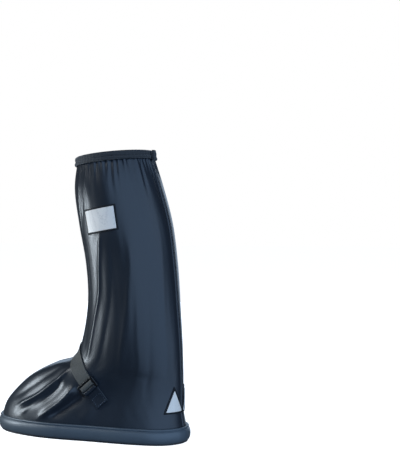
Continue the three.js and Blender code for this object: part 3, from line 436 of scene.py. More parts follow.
def relief(turn, rise, side):
    """Height of the cloth above the smooth upper, with its folds, pleats and seams."""
    turn, rise = np.broadcast_arrays(np.asarray(turn, float), np.asarray(rise, float))
    points = base(turn, rise, side)
    seam_free = np.sqrt(np.sin(np.radians(np.clip(turn, 0, 180))) + 1e-9)
    above = smooth(0.05, 0.125, rise)
    folds = fold_relief(points, turn, side)
    # Slow waves that run down the shaft and bend with it
    wander = turn + 5 * np.sin(7 * rise + side)
    waves = 0.22 * np.sin(np.radians(wander) * 11 + 1.3 * side) * np.sin(9 * rise + 0.02 * turn)
    waves += 0.09 * np.sin(np.radians(wander) * 19 + 2) * np.sin(14 * rise + 0.03 * turn + side)
    waves += 0.06 * np.sin(np.radians(wander) * 37 + 5 * rise) * np.sin(23 * rise + 0.05 * turn)
    calm = (1 - pressed(points, side)) * (1 - patch_flat(points, side))
    height = (folds + waves) * seam_free * above * calm
    below = np.linalg.norm(base(turn, np.ones_like(rise), side) - points, axis=-1)
    for at, depth, width, reach in PLEATS[side]:
        drift = 2.2 * np.sin(at) * (below / 40)
        away = (turn - at - drift) * 0.9 / (width * (1 + below / 45))
        puff = 0.45 * np.exp(-(away / 2.6) ** 2)
        height += depth * (puff - np.exp(-away ** 2)) * np.exp(-(below / reach) ** 1.6)
    # Welded seams: a flat ridge with a fine groove on each side
    for seam in (0, 180):
        away = np.linalg.norm(points - base(np.full_like(turn, seam), rise, side), axis=-1)
        height += 0.7 * np.exp(-(away / 1.5) ** 4) - 0.35 * np.exp(-((away - 3) / 0.7) ** 2)
    return height


def skin(turn, rise, side, out=0.0):
    """Place on the cloth, standing out from it by a distance."""
    high = relief(turn, rise, side) + out
    return base(turn, rise, side) + normal(turn, rise, side) * high[..., None]


def grid_faces(rows, columns, first=0, flip=False, wrap=False):
    """Quads of a grid of points that are stored row by row."""
    i = np.arange(rows if wrap else rows - 1)[:, None]
    k = np.arange(columns - 1)[None, :]
    a, b = i * columns + k, (i + 1) % rows * columns + k
    faces = np.stack([a, b, b + 1, a + 1], -1).reshape(-1, 4) + first
    return faces[:, ::-1] if flip else faces


def mesh_piece(name, parts, materials, uv=None):
    """Object from parts, each (points, faces, material index), smooth shaded."""
    mesh = bpy.data.meshes.new(name)
    points, faces, indices, offset = [], [], [], 0
    for spots, quads, index in parts:
        spots = np.asarray(spots, float).reshape(-1, 3)
        points.append(spots)
        faces += [tuple(int(v) + offset for v in quad) for quad in quads]
        indices += [index] * len(quads)
        offset += len(spots)
    mesh.from_pydata((np.concatenate(points) / 1000).tolist(), [], faces)
    for material in materials:
        mesh.materials.append(material)
    mesh.polygons.foreach_set("material_index", indices)
    mesh.polygons.foreach_set("use_smooth", [True] * len(faces))
    if uv is not None:
        layer = mesh.uv_layers.new(name="cloth")
        corners = np.empty(len(mesh.loops), int)
        mesh.loops.foreach_get("vertex_index", corners)
        layer.data.foreach_set("uv", np.asarray(uv, float).reshape(-1, 2)[corners].ravel())
    mesh.update()
    piece = bpy.data.objects.new(name, mesh)
    scene.collection.objects.link(piece)
    return piece


# Calendered PVC on polyester cloth: a satin film with a fine pressed grain. It mirrors lights
# softly along each fold and stays dark blue-grey between them.
pvc, place = new_material("calendered_pvc_coated_cloth")
cloudy = add_node(pvc, "ShaderNodeTexNoise", Vector=place, Scale=14, Detail=3).outputs["Fac"]
grain = add_node(pvc, "ShaderNodeTexVoronoi", {"feature": "SMOOTH_F1"}, Vector=place,
                 Scale=1000 / 0.8, Smoothness=0.6)
soft_grain = add_node(pvc, "ShaderNodeTexNoise", Vector=place, Scale=1000 / 2.5, Detail=4)
grain_sum = add_node(pvc, "ShaderNodeMath", {"operation": "ADD"},
                     in_0=grain.outputs["Distance"], in_1=soft_grain.outputs["Fac"])
dull = add_node(pvc, "ShaderNodeMapRange", in_0=cloudy, in_3=0.31, in_4=0.4)
finish_material(pvc, (cloudy, "#101820", "#141f2a"), grain_sum.outputs[0], 0.35, 0.00006,
                Roughness=dull.outputs[0], IOR=1.53)

# Taffeta backing: the woven inside of the cloth, with threads of 0.4 mm drawn at 1 mm
lining, place = new_material("woven_taffeta_backing")
threads = [
    add_node(lining, "ShaderNodeTexWave", {"bands_direction": way}, Vector=place,
             Scale=1000 / 6.28, Distortion=0.3)
    for way in ("X", "Z")
]
weave = add_node(lining, "ShaderNodeMath", {"operation": "MULTIPLY"},
                 in_0=threads[0].outputs["Fac"], in_1=threads[1].outputs["Fac"]).outputs[0]
finish_material(lining, (weave, "#17191d", "#2a2e35"), weave, 0.4, 0.0002, Roughness=0.7)

# Columns are spaced closer to the two seams, where the welds are narrow
COLUMNS, ROWS = ((231, 329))
shares = np.linspace(0, 1, COLUMNS)
panel_turns = 180 * (shares - 0.086 * np.sin(2 * np.pi * shares))
panel_turns = np.clip(panel_turns, 0, 180)
panel_rises = np.linspace(0, 1, ROWS)
for side, name, node in ((-1, "upper_outer_side", "outer_side_panel"),
                         (1, "upper_inner_side", "inner_side_panel")):
    turn, rise = np.meshgrid(panel_turns, panel_rises, indexing="ij")
    outside = skin(turn, rise, side)
    outside[0, :, 1] = outside[-1, :, 1] = 0
    inside = skin(turn[::2, ::2], rise[::2, ::2], side, -WALL)
    inside[0, :, 1] = inside[-1, :, 1] = 0
    panel = mesh_piece(name, [
        (outside, grid_faces(COLUMNS, ROWS, flip=side > 0), 0),
        (inside, grid_faces(*inside.shape[:2], flip=side < 0), 1),
    ], [pvc, lining])
    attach(panel, "root")
    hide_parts(node)


# Sole rim: a band of softer PVC moulded round the foot of the upper, with a raised welt along
# its top edge and a lip that comes down over the outsole's edge.
# Distance beyond the upper and height, from the seat on the outsole round to the upper
RIM_SECTION = [
    (1.9, 4.3), (1.9, 2.4), (2.5, 2.35), (3.2, 2.7), (3.9, 3.7), (4.5, 5.2), (4.9, 7.2),
    (5.15, 9.4), (5.2, 11.6), (5.0, 13.6), (4.6, 15.4), (4.0, 16.9), (3.3, 17.9), (2.7, 18.4),
    (2.45, 18.7), (2.6, 19.0), (3.0, 19.3), (3.25, 19.9), (3.2, 20.6), (2.8, 21.3), (2.1, 21.75),
    (1.2, 21.8), (0.2, 21.5), (-1.0, 21.0),
]


def all_round(make, count=240):
    """Values of make(turns, side) at places all the way round, outer side first."""
    share = np.linspace(0, 1, count + 1)
    turns = 180 * (share - 0.5 * np.sin(2 * np.pi * share) / (2 * np.pi))
    return np.concatenate([make(turns, -1), make(turns[::-1][1:-1], 1)])


foot = all_round(lambda turns, side: base(turns, 0, side))
foot_out = all_round(lambda turns, side: normal(turns, 0, side))
section = np.array(RIM_SECTION)
ripple = np.arange(len(foot)) / len(foot) * 2 * np.pi
swell = 0.12 * np.sin(9 * ripple) + 0.08 * np.sin(23 * ripple + 1)
rim_points = foot[:, None] + foot_out[:, None] * (
    section[None, :, :1] + swell[:, None, None] * (section[None, :, :1] > 2.2))
rim_points[..., 2] = section[None, :, 1]

# Injection-moulded PVC: the body colour a shade lighter, with a dull eggshell surface that the
# mould leaves, and faint flow clouds
moulded, place = new_material("injection_moulded_pvc_rim")
clouds = add_node(moulded, "ShaderNodeTexNoise", Vector=place, Scale=22, Detail=3)
eggshell = add_node(moulded, "ShaderNodeTexNoise", Vector=place, Scale=1000 / 0.7, Detail=2)
finish_material(moulded, (clouds.outputs["Fac"], "#3f474f", "#4b555c"), eggshell.outputs["Fac"],
                0.3, 0.00005, Roughness=0.42, IOR=1.53)
rim = mesh_piece("moulded_sole_rim", [
    (rim_points, grid_faces(len(foot), len(section), wrap=True), 0)], [moulded])
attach(rim, "root")
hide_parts("sole_rim")

# Outsole: pressed black rubber. Two fields of V-shaped bars grip the ground under the ball and
# the heel, with a plain waist and a flat pad under the arch between them.
TREAD = 2
OUTSOLE_TOP = 4
OUTSOLE_OUT = 1.6
BAR_WIDTH, BAR_PITCH, BAR_TURN = 5, 12, math.radians(28)
TREAD_ZONES = ((-0.47, -0.15), (0.2, 0.46))
sole_turns = np.degrees(np.arccos(np.linspace(1, -1, 460)))
edge = {side: base(sole_turns, 0, side) + normal(sole_turns, 0, side) * OUTSOLE_OUT
        for side in (-1, 1)}
across = np.linspace(0, 1, 170)
under = edge[-1][:, None] * (1 - across[None, :, None]) + edge[1][:, None] * across[None, :, None]
x, y = under[..., 0], under[..., 1]
from_edge = np.minimum(np.abs(y - edge[-1][:, None, 1]), np.abs(edge[1][:, None, 1] - y))
from_edge = np.minimum(from_edge, np.minimum(x - edge[1][0, 0], edge[1][-1, 0] - x) * 1.2)
along_bar = x + np.abs(y) * math.tan(BAR_TURN)
bars = np.zeros_like(x)
for start, end in TREAD_ZONES:
    count = math.floor((end - start) * UPPER_LENGTH / BAR_PITCH)
    for i in range(count + 1):
        away = np.abs(along_bar - start * UPPER_LENGTH - i * BAR_PITCH) * math.cos(BAR_TURN)
        bars = np.maximum(bars, 1 - smooth(BAR_WIDTH / 2 - 0.5, BAR_WIDTH / 2 + 0.5, away))
bars *= smooth(0.3, 1.3, np.abs(y)) * smooth(2.2, 3.2, from_edge)
pad = (1 - smooth(22.6, 23.4, np.abs(x))) * (1 - smooth(16.6, 17.4, np.abs(y)))
wall = 1 - smooth(4.6, 5.4, from_edge)
rounding = np.clip(1 - from_edge / 0.5, 0, 1) ** 2 * 0.4
under[..., 2] = TREAD * (1 - np.maximum.reduce([bars, pad, wall])) + rounding
top = under[::6, ::6].copy()
top[..., 2] = OUTSOLE_TOP
side_wall = np.repeat((foot + foot_out * OUTSOLE_OUT)[:, None], 3, 1)
side_wall[..., 2] = (0.4, 2, OUTSOLE_TOP)

# Pressed rubber: deep matte black with a talc-dull bloom in soft clouds over it
rubber, place = new_material("pressed_black_rubber")
bloom = add_node(rubber, "ShaderNodeTexNoise", Vector=place, Scale=40, Detail=4)
pores = add_node(rubber, "ShaderNodeTexNoise", Vector=place, Scale=1000 / 0.6, Detail=3)
finish_material(rubber, (bloom.outputs["Fac"], "#15161a", "#24262b"), pores.outputs["Fac"],
                0.5, 0.00008, Roughness=0.62, IOR=1.52)
outsole = mesh_piece("treaded_outsole", [
    (under, grid_faces(*under.shape[:2]), 0),
    (top, grid_faces(*top.shape[:2], flip=True), 0),
    (side_wall, grid_faces(len(foot), 3, wrap=True), 0),
], [rubber])
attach(outsole, "root")
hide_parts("outsole")

# Elastic binding: knitted black elastic folded over the gathered edge of the leg opening and
# sewn through, which leaves two rolls with a groove between them.
BAND_OUT = 1.8
BAND_DEPTH = 7  # from the leg opening down to the binding's lower edge
# Distance beyond the upper and height above its top edge
BAND_SECTION = [
    (0, -7), (0.9, -7.05), (1.7, -6.7), (2.2, -5.9), (2.4, -4.9), (2.35, -3.8), (2.0, -2.8),
    (1.5, -2.2), (1.15, -1.9), (1.5, -1.6), (2.0, -1.1), (2.4, -0.3), (2.55, 0.8), (2.5, 2),
    (2.15, 3.3), (1.5, 4.3), (0.6, 4.9), (-0.6, 5.1), (-2.2, 5.1), (-3.6, 4.8), (-4.7, 4.1),
    (-5.4, 3), (-5.7, 1.6), (-5.6, 0), (-5.3, -1.4), (-5.2, -2), (-5.5, -3), (-5.6, -4.6),
    (-5.2, -6), (-4.4, -6.6),
]


def rise_below(turn, side, distance):
    """Rise of the places at a distance below the leg opening."""
    top = base(turn, 1, side)
    low, high = np.full(turn.shape, 0.8), np.ones(turn.shape)
    for _ in range(24):
        middle = (low + high) / 2
        far = np.linalg.norm(base(turn, middle, side) - top, axis=-1) > distance
        low, high = np.where(far, middle, low), np.where(far, high, middle)
    return high


def band_roll(turns, side):
    """Section of the binding at each turn, swelling a little between its stitches."""
    out = normal(turns, 1, side)
    swell = 0.16 * np.sin(turns * 1.1) + 0.1 * np.sin(turns * 1.74 + 1) + 0.12 * np.sin(turns * 0.39)
    rows = []
    for away, up in BAND_SECTION:
        outer = away > -1
        rise = rise_below(turns, side, -up) if up < 0 and outer else np.ones(turns.shape)
        reach = BAND_OUT + away + (swell if outer else -swell)
        rows.append(base(turns, rise, side) + out * reach[:, None]
                    + CUFF_AXIS * (up if up > 0 or not outer else 0))
    return np.stack(rows, 1)


band_points = all_round(band_roll)

# Knitted elastic: black rib knit whose 1.2 mm ribs run round the roll, fuzzy and nearly matte
elastic, place = new_material("knitted_elastic_binding")
ribs = add_node(elastic, "ShaderNodeTexWave", {"bands_direction": "Z"}, Vector=place,
                Scale=1000 / (1.2 * 6.28), Distortion=0.8, Detail=1).outputs["Fac"]
fuzz = add_node(elastic, "ShaderNodeTexNoise", Vector=place, Scale=1000 / 0.9, Detail=3)
knit = add_node(elastic, "ShaderNodeMath", {"operation": "ADD"}, in_0=ribs,
                in_1=fuzz.outputs["Fac"])
finish_material(elastic, (ribs, "#141517", "#2a2c2f"), knit.outputs[0], 0.5, 0.0003,
                Roughness=0.75, Sheen_Weight=0.25, Sheen_Roughness=0.5)
band = mesh_piece("elastic_binding", [
    (band_points, grid_faces(*band_points.shape[:2], wrap=True), 0)], [elastic])
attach(band, "root")
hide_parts("cuff_band")

# Binding end: the elastic's last centimetre, turned back on itself over the back seam and sewn
# down, so it stands out as a small soft block.
END_AROUND, END_ALONG = 32, 13
END_HALF = (1.9, 4.4, 6.9)
low, high = [np.array(corner) * 1000 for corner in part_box("cuff_tab")]
middle = (low + high) / 2
end_rows = []
for u in np.linspace(0, 2 * np.pi, END_AROUND + 1)[:-1]:
    cos, sin = math.cos(u), math.sin(u)
    reach = (abs(cos) ** 4 + abs(sin) ** 4) ** -0.25
    end_rows.append([(cos * reach, v, sin * reach) for v in np.linspace(-1, 1, END_ALONG)])
end_points = np.array(end_rows)
end_points[..., [0, 2]] *= (1 - np.abs(end_points[..., 1]) ** 8 * 0.35)[..., None]
end_points *= END_HALF + 0.25 * np.sin(end_points[..., 2:] * 7) * (1, 0, 0)
end_points += middle
end_points[..., 0] -= (end_points[..., 2] - middle[2]) * math.tan(CUFF_TILT)
caps = [(end_points[:, k], [range(END_AROUND)] if k else [range(END_AROUND - 1, -1, -1)], 0)
        for k in (0, -1)]
binding_end = mesh_piece("binding_end", [
    (end_points, grid_faces(END_AROUND, END_ALONG, wrap=True), 0), *caps], [elastic])
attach(binding_end, "root")
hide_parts("cuff_tab")

# Reflectors: silver retroreflective film on a black base, heat-welded to the cloth. One patch
# is high on the outer side, and a triangle is on each side of the back seam at the heel.
PATCH = (46, 30)
BORDER = 2.4
TRIANGLE = (25, 28.5)
HEEL_PLACE = (165.2, 0.292)
# How far above the cloth each layer starts, and its thickness
BASE_LAYER, FILM_LAYER = (0.3, 0.8), (1.2, 0.6)


def surface_frame(turn, rise, side, slant):
    """Origin and directions on the upper: to the viewer's right, up the shaft, outwards."""
    origin, out = base(turn, rise, side), normal(turn, rise, side)
    right = np.cross((0, 0, 1), out)
    right /= np.linalg.norm(right)
    up = np.cross(out, right)
    cos, sin = math.cos(math.radians(slant)), math.sin(math.radians(slant))
    return origin, right * cos + up * sin, up * cos - right * sin, out


def on_frame(surface, x, y, side, turn, rise):
    """Turn and rise of the places that lie under x and y in a frame on the upper."""
    origin, right, up, _ = surface
    turn, rise = np.full(x.shape, float(turn)), np.full(x.shape, float(rise))
    for _ in range(14):
        here = base(turn, rise, side)
        along = (base(turn + 0.5, rise, side) - here) / 0.5
        above = (base(turn, rise + 0.004, side) - here) / 0.004
        u, v = (here - origin) @ right, (here - origin) @ up
        a, b, c, d = along @ right, above @ right, along @ up, above @ up
        det = a * d - b * c
        turn = np.clip(turn + ((x - u) * d - (y - v) * b) / det, 0, 180)
        rise = np.clip(rise + ((y - v) * a - (x - u) * c) / det, 0.01, 1)
    return turn, rise


def laid_sheet(surface, outline, side, turn, rise, low, thick, rings=9, round_off=0.45):
    """Sheet that follows the cloth: points of an outline drawn in to its middle, with soft edges."""
    outline = np.asarray(outline, float)
    middle = outline.mean(0)
    reach = np.linalg.norm(outline - middle, axis=1)
    shares = 1 - np.concatenate([[0, 0.25, 0.6], np.linspace(1, reach.min() * 0.98, rings)])[None] \
        / reach[:, None]
    flat = middle + (outline - middle)[:, None] * shares[..., None]
    flat = np.concatenate([flat, np.broadcast_to(middle, (len(outline), 1, 2))], 1)
    at_turn, at_rise = on_frame(surface, flat[..., 0], flat[..., 1], side, turn, rise)
    lift = np.full(flat.shape[:2], low + thick)
    lift[:, 0], lift[:, 1] = low + thick - round_off, low + thick - round_off / 3
    top = skin(at_turn, at_rise, side, lift)
    foot = skin(at_turn[:, :1], at_rise[:, :1], side, np.full((len(outline), 1), low - 0.25))
    return np.concatenate([foot, top], 1)


def rounded(points, radius, steps=5, spacing=1.5):
    """Closed outline with rounded corners and evenly spaced points."""
    points = np.asarray(points, float)
    result = []
    for i, corner in enumerate(points):
        a = points[i - 1] - corner
        b = points[(i + 1) % len(points)] - corner
        a, b = a / np.linalg.norm(a), b / np.linalg.norm(b)
        half = math.acos(np.clip(a @ b, -1, 1)) / 2
        cut = radius / math.tan(half)
        start, end = corner + a * cut, corner + b * cut
        for s in np.linspace(0, 1, steps):
            result.append((1 - s) ** 2 * start + 2 * s * (1 - s) * corner + s * s * end)
    result = np.array(result)
    filled = []
    for i, spot in enumerate(result):
        nxt = result[(i + 1) % len(result)]
        count = max(1, int(np.linalg.norm(nxt - spot) / spacing))
        filled += [spot + (nxt - spot) * k / count for k in range(count)]
    return np.array(filled)


def rectangle(width, height):
    x, y = width / 2, height / 2
    return [(-x, -y), (x, -y), (x, y), (-x, y)]


def triangle(width, height, border):
    """Corners of a triangle, moved outwards by a border."""
    flank = math.hypot(width / 2, height)
    apex, foot = border * flank / (width / 2), border * (flank + width / 2) / height
    return [(-width / 2 - foot, -height / 2 - border), (width / 2 + foot, -height / 2 - border),
            (0, height / 2 + apex)]


# Glass-bead film: tiny beads in clear resin, with faint print marks of the bead cells, 1.5 mm
# wide. Its own tone is a little warm, and the cool light makes it look silver.
film, place = new_material("glass_bead_reflective_film")
cells = add_node(film, "ShaderNodeTexVoronoi", {"feature": "DISTANCE_TO_EDGE"}, Vector=place,
                 Scale=1000 / 1.5, Randomness=0.25)
joints = add_node(film, "ShaderNodeMapRange", in_0=cells.outputs["Distance"],
                  in_2=0.12).outputs[0]
drift = add_node(film, "ShaderNodeTexNoise", Vector=place, Scale=45, Detail=3)
shade = add_node(film, "ShaderNodeMix", {"data_type": "RGBA"}, in_0=drift.outputs["Fac"],
                 in_6=linear("#e4dacf"), in_7=linear("#f3e7da"))
tone = add_node(film, "ShaderNodeMix", {"data_type": "RGBA"}, in_0=joints,
                in_6=linear("#d8cec3"), in_7=shade.outputs[2])
finish_material(film, tone.outputs[2], joints, 0.25, 0.00008, Roughness=0.38, IOR=1.5)

# Welded black base: black PVC, pressed flat and left matt by the hot tool, so it frames the film
base_film, place = new_material("welded_black_pvc_base")
press = add_node(base_film, "ShaderNodeTexNoise", Vector=place, Scale=1000 / 4,
                 Detail=2).outputs["Fac"]
finish_material(base_film, (press, "#0e0f11", "#1a1c1f"), press, 0.3, 0.00008, Roughness=0.6,
                IOR=1.53, Specular_IOR_Level=0.2)


def reflector(name, node, outline, spot, layer, material, tidy=0.8):
    """One layer of a reflector; spot is its frame on the upper, side, turn and rise."""
    sheet_points = laid_sheet(spot[0], rounded(outline, tidy), *spot[1:], *layer)
    sheet = mesh_piece(name, [
        (sheet_points, grid_faces(*sheet_points.shape[:2], wrap=True), 0)], [material])
    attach(sheet, "root")
    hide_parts(node)


turn, rise = [float(v) for v in place_at(*PATCH_MIDDLE, -1)]
spot = (surface_frame(turn, rise, -1, PATCH_SLANT), -1, turn, rise)
wide = rectangle(PATCH[0] + 2 * BORDER, PATCH[1] + 2 * BORDER)
reflector("patch_base", "reflector_backing", wide, spot, BASE_LAYER, base_film, 1.2)
reflector("reflective_patch", "reflector_patch", rectangle(*PATCH), spot, FILM_LAYER, film)
for side, where in ((-1, "outer"), (1, "inner")):
    spot = (surface_frame(*HEEL_PLACE, side, 0), side, *HEEL_PLACE)
    reflector(f"heel_triangle_base_{where}", f"heel_backing_{where}", triangle(*TRIANGLE, BORDER),
              spot, BASE_LAYER, base_film, 0.9)
    reflector(f"reflective_triangle_{where}", f"heel_triangle_{where}", triangle(*TRIANGLE, 0),
              spot, FILM_LAYER, film, 0.6)

# Instep strap: grey polypropylene webbing, woven flat, that runs over the instep in one sloping
# plane. Each end comes up through its buckle's front slot, over the middle bar and down again.
WEBBING = 1.5
STRAP_LOW = 0.3
BUCKLE_THICK = 3.2
FRONT_BAR, MIDDLE_BAR, REAR_BAR = (-7.1, -4.1), (-1.5, 1.5), (5.9, 8.9)
WEB_VIEW = np.array([-10, -9.85, -9.5, -8.6, -7, -5, -2.5, 0, 2.5, 5, 7, 8.6, 9.5, 9.85, 10])
WEB_HALF = WEBBING / 2 * np.array([
    0.55, 0.82, 1, 1.04, 1, 0.99, 1, 1, 1, 0.99, 1, 1.04, 1, 0.82, 0.55])


def corner_places(piece):
    """Corners of an object's mesh, in millimetres."""
    return np.array([vertex.co for vertex in piece.data.vertices]) * 1000


for side, buckle in BUCKLE.items():
    out = buckle["normal"]
    along = STRAP_ALONG - out * (out @ STRAP_ALONG)
    along /= np.linalg.norm(along)
    buckle["axes"] = np.array([along, np.cross(out, along), out])
    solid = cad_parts["buckle_outer" if side < 0 else "buckle_inner"]
    buckle["low"] = float(((corner_places(solid) - buckle["point"]) @ out).min())


def strap_rise(turn, across, side):
    """Rise of the places at a turn that lie at a height across the strap's plane."""
    low, high = np.full(turn.shape, 0.1), np.full(turn.shape, 0.75)
    for _ in range(26):
        middle = (low + high) / 2
        under = base(turn, middle, side) @ STRAP_ACROSS < across
        low, high = np.where(under, middle, low), np.where(under, high, middle)
    return low


def strap_side(side):
    """Middle of the webbing from the front seam to its end in the buckle."""
    buckle = BUCKLE[side]
    turns = np.linspace(0, buckle["turn"] + 8, 160)
    across = buckle["point"] @ STRAP_ACROSS + WEB_VIEW
    turn, level = np.meshgrid(turns, across, indexing="ij")
    rise = strap_rise(turn, level, side)
    x = (base(turn, rise, side) - buckle["point"]) @ buckle["axes"][0]
    ends = [np.interp(FRONT_BAR[0] - 1.5, x[:, j], turns) for j in range(len(across))]
    turn = np.linspace(0, 1, 90)[:, None] * np.array(ends)
    level = np.broadcast_to(across, turn.shape)
    flat = skin(turn, strap_rise(turn, level, side), side, STRAP_LOW + WEBBING / 2)
    local = (flat[-1] - buckle["point"]) @ buckle["axes"].T
    low, top = buckle["low"], buckle["low"] + BUCKLE_THICK
    up, down = MIDDLE_BAR[0] - 1.05, MIDDLE_BAR[1] + 1.05
    rest = np.mean(local[:, 2])
    climb = [
        (-6.4, rest), (-5, rest), (-4, rest + 0.05), (-3.3, rest + 0.4), (up - 0.25, rest + 1.1),
        (up, rest + 2), (up, low + 1), (up, top - 0.4), (up + 0.15, top + 0.35), (up + 0.55, top + 0.85),
        (up + 1.2, top + 1.06), (-0.5, top + 1.12), (0.5, top + 1.12), (down - 1.2, top + 1.06),
        (down - 0.55, top + 0.85), (down - 0.15, top + 0.35), (down, top - 0.4), (down, low + 1),
        (down, rest + 1), (down, rest),
    ]
    loop = []
    for x, z in climb:
        settle = np.clip((x + 8.6) / 3, 0, 1)
        height = local[:, 2] * (1 - settle) + rest * settle + (z - rest)
        spot = np.stack([np.full(len(height), x), local[:, 1], height], -1)
        loop.append(buckle["point"] + spot @ buckle["axes"])
    return np.concatenate([flat, np.array(loop)])


def ribbon(name, middle, half, material):
    """Closed flat ribbon round a grid of its middle points, with millimetres for its weave."""
    run, width = np.gradient(middle, axis=0), np.gradient(middle, axis=1)
    out = np.cross(run, width)
    out /= np.linalg.norm(out, axis=-1, keepdims=True)
    lift = out * half[..., None]
    loop = np.concatenate([middle + lift, (middle - lift)[:, ::-1]], 1)
    step = np.linalg.norm(np.diff(middle.mean(1), axis=0), axis=-1)
    length = np.concatenate([[0], np.cumsum(step)])
    reach = np.linalg.norm(np.diff(middle, axis=1), axis=-1).mean(0)
    across = np.concatenate([[0], np.cumsum(reach)])
    across = np.concatenate([across, across[::-1]])
    uv = np.stack(np.broadcast_arrays(length[:, None], across), -1)
    rows, columns = loop.shape[:2]
    faces = grid_faces(rows, columns).tolist()
    faces += [(i * columns + columns - 1, (i + 1) * columns + columns - 1, (i + 1) * columns,
               i * columns) for i in range(rows - 1)]
    ends = [list(range(columns)), list(range(rows * columns - 1, (rows - 1) * columns - 1, -1))]
    return mesh_piece(name, [(loop, faces + ends, 0)], [material], uv.reshape(-1, 2))


# Polypropylene webbing: matte grey yarns in a close plain weave. Its 1.3 mm picks show as rows of
# small dashes, with a brighter, denser selvedge.
webbing, _ = new_material("woven_polypropylene_webbing")
cloth = add_node(webbing, "ShaderNodeUVMap", {"uv_map": "cloth"})
weave_places = add_node(webbing, "ShaderNodeMapping", Vector=cloth.outputs[0],
                        Scale=(1 / 1.3, 1 / 1.3, 1)).outputs[0]
picks = add_node(webbing, "ShaderNodeTexBrick", {"offset": 0.5}, Vector=weave_places,
                 Color1=(1, 1, 1, 1), Color2=(0.72, 0.72, 0.72, 1), Mortar=(0, 0, 0, 1), Scale=1.0,
                 Mortar_Size=0.12, Mortar_Smooth=1.0, Brick_Width=1.5,
                 Row_Height=0.75).outputs["Color"]
fibres = add_node(webbing, "ShaderNodeTexNoise", Vector=weave_places, Scale=3.5, Detail=4)
tone = add_node(webbing, "ShaderNodeMix", {"data_type": "RGBA"}, in_0=picks,
                in_6=linear("#2e2c29"), in_7=linear("#57544c"))
lint = add_node(webbing, "ShaderNodeMix", {"data_type": "RGBA", "blend_type": "OVERLAY"},
                in_0=0.35, in_6=tone.outputs[2], in_7=fibres.outputs["Color"])
finish_material(webbing, lint.outputs[2], picks, 0.7, 0.0003, Roughness=0.68,
                Sheen_Weight=0.15, Sheen_Roughness=0.4)
strap_middle = np.concatenate([strap_side(1)[::-1], strap_side(-1)[1:]])
strap = ribbon("instep_strap_webbing", strap_middle,
               np.broadcast_to(WEB_HALF, strap_middle.shape[:2]), webbing)
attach(strap, "root")
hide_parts("instep_strap")

# Buckles: three-bar slides moulded in black acetal, one at each end of the strap. The strap goes
# round the middle bar and the sewn tab round the rear one.
BUCKLE_HALF = 14
SLOT_HALF = 10.6

# Injection-moulded acetal: glossy black with rounded edges that catch a sharp light
acetal, place = new_material("moulded_black_acetal")
flow = add_node(acetal, "ShaderNodeTexNoise", Vector=place, Scale=90, Detail=3).outputs["Fac"]
wear = add_node(acetal, "ShaderNodeMapRange", in_0=flow, in_3=0.12, in_4=0.22)
ripples = add_node(acetal, "ShaderNodeTexNoise", Vector=place, Scale=420, Detail=2)
finish_material(acetal, (flow, "#0c0c0d", "#17181a"), ripples.outputs["Fac"], 0.2, 0.0001,
                Roughness=wear.outputs[0], IOR=1.48)


def moulded_plate(name, loops, thick, bevel, material, steps=3):
    """Plate from an outline and its holes, with rounded edges, as a mesh at its own origin."""
    plate = bpy.data.curves.new(name, "CURVE")
    plate.dimensions = "2D"
    plate.fill_mode = "BOTH"
    plate.extrude = (thick / 2 - bevel) / 1000
    plate.bevel_depth = bevel / 1000
    plate.bevel_resolution = steps
    plate.offset = -bevel / 1000
    for loop in loops:
        path = plate.splines.new("POLY")
        path.points.add(len(loop) - 1)
        for knot, (x, y) in zip(path.points, loop):
            knot.co = (x / 1000, y / 1000, 0, 1)
        path.use_cyclic_u = True
    shape = bpy.data.objects.new(name, plate)
    scene.collection.objects.link(shape)
    mesh = bpy.data.meshes.new_from_object(shape.evaluated_get(bpy.context.evaluated_depsgraph_get()))
    bpy.data.objects.remove(shape)
    mesh.name = name
    mesh.materials.clear()
    mesh.materials.append(material)
    mesh.polygons.foreach_set("use_smooth", [True] * len(mesh.polygons))
    piece = bpy.data.objects.new(name, mesh)
    scene.collection.objects.link(piece)
    return piece


def set_on(piece, point, axes, middle):
    """Moves a mesh from its own origin onto a frame of the upper; middle is its place there."""
    spots = point + (corner_places(piece) + middle) @ axes
    piece.data.vertices.foreach_set("co", (spots / 1000).ravel())
    piece.data.update()


def box_loop(x0, x1, half, radius):
    return rounded([(x0, -half), (x1, -half), (x1, half), (x0, half)], radius, steps=6, spacing=3)


for side, where in ((-1, "outer"), (1, "inner")):
    buckle = BUCKLE[side]
    slide = moulded_plate(f"strap_slide_{where}", [
        box_loop(FRONT_BAR[0], REAR_BAR[1], BUCKLE_HALF, 2),
        box_loop(FRONT_BAR[1], MIDDLE_BAR[0], SLOT_HALF, 0.8),
        box_loop(MIDDLE_BAR[1], REAR_BAR[0], SLOT_HALF, 0.8),
    ], BUCKLE_THICK, 0.8, acetal, 4)
    spots = corner_places(slide)
    # The rails dish a little, so that the slide's upper face is hollow between its two ends
    spots[:, 2] += np.where(spots[:, 2] > 0, 0.35 * (np.abs(spots[:, 1]) / BUCKLE_HALF) ** 3, 0)
    slide.data.vertices.foreach_set("co", (spots / 1000).ravel())
    set_on(slide, buckle["point"], buckle["axes"], (0, 0, buckle["low"] + BUCKLE_THICK / 2))
    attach(slide, "root")
    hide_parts(f"buckle_{where}")

# Anchor tabs: a strip of the upper's coated cloth, folded round the buckle's rear bar and sewn
# down through both layers with a box of stitches near its end.
TAB_LAYER = 0.7
TAB_VIEW = np.array([-10, -9.9, -9.6, -8.5, -6, -3, 0, 3, 6, 8.5, 9.6, 9.9, 10])
TAB_HALF = TAB_LAYER / 2 * np.array([0.35, 0.75, 1, 1, 1, 1, 1, 1, 1, 1, 1, 0.75, 0.35])


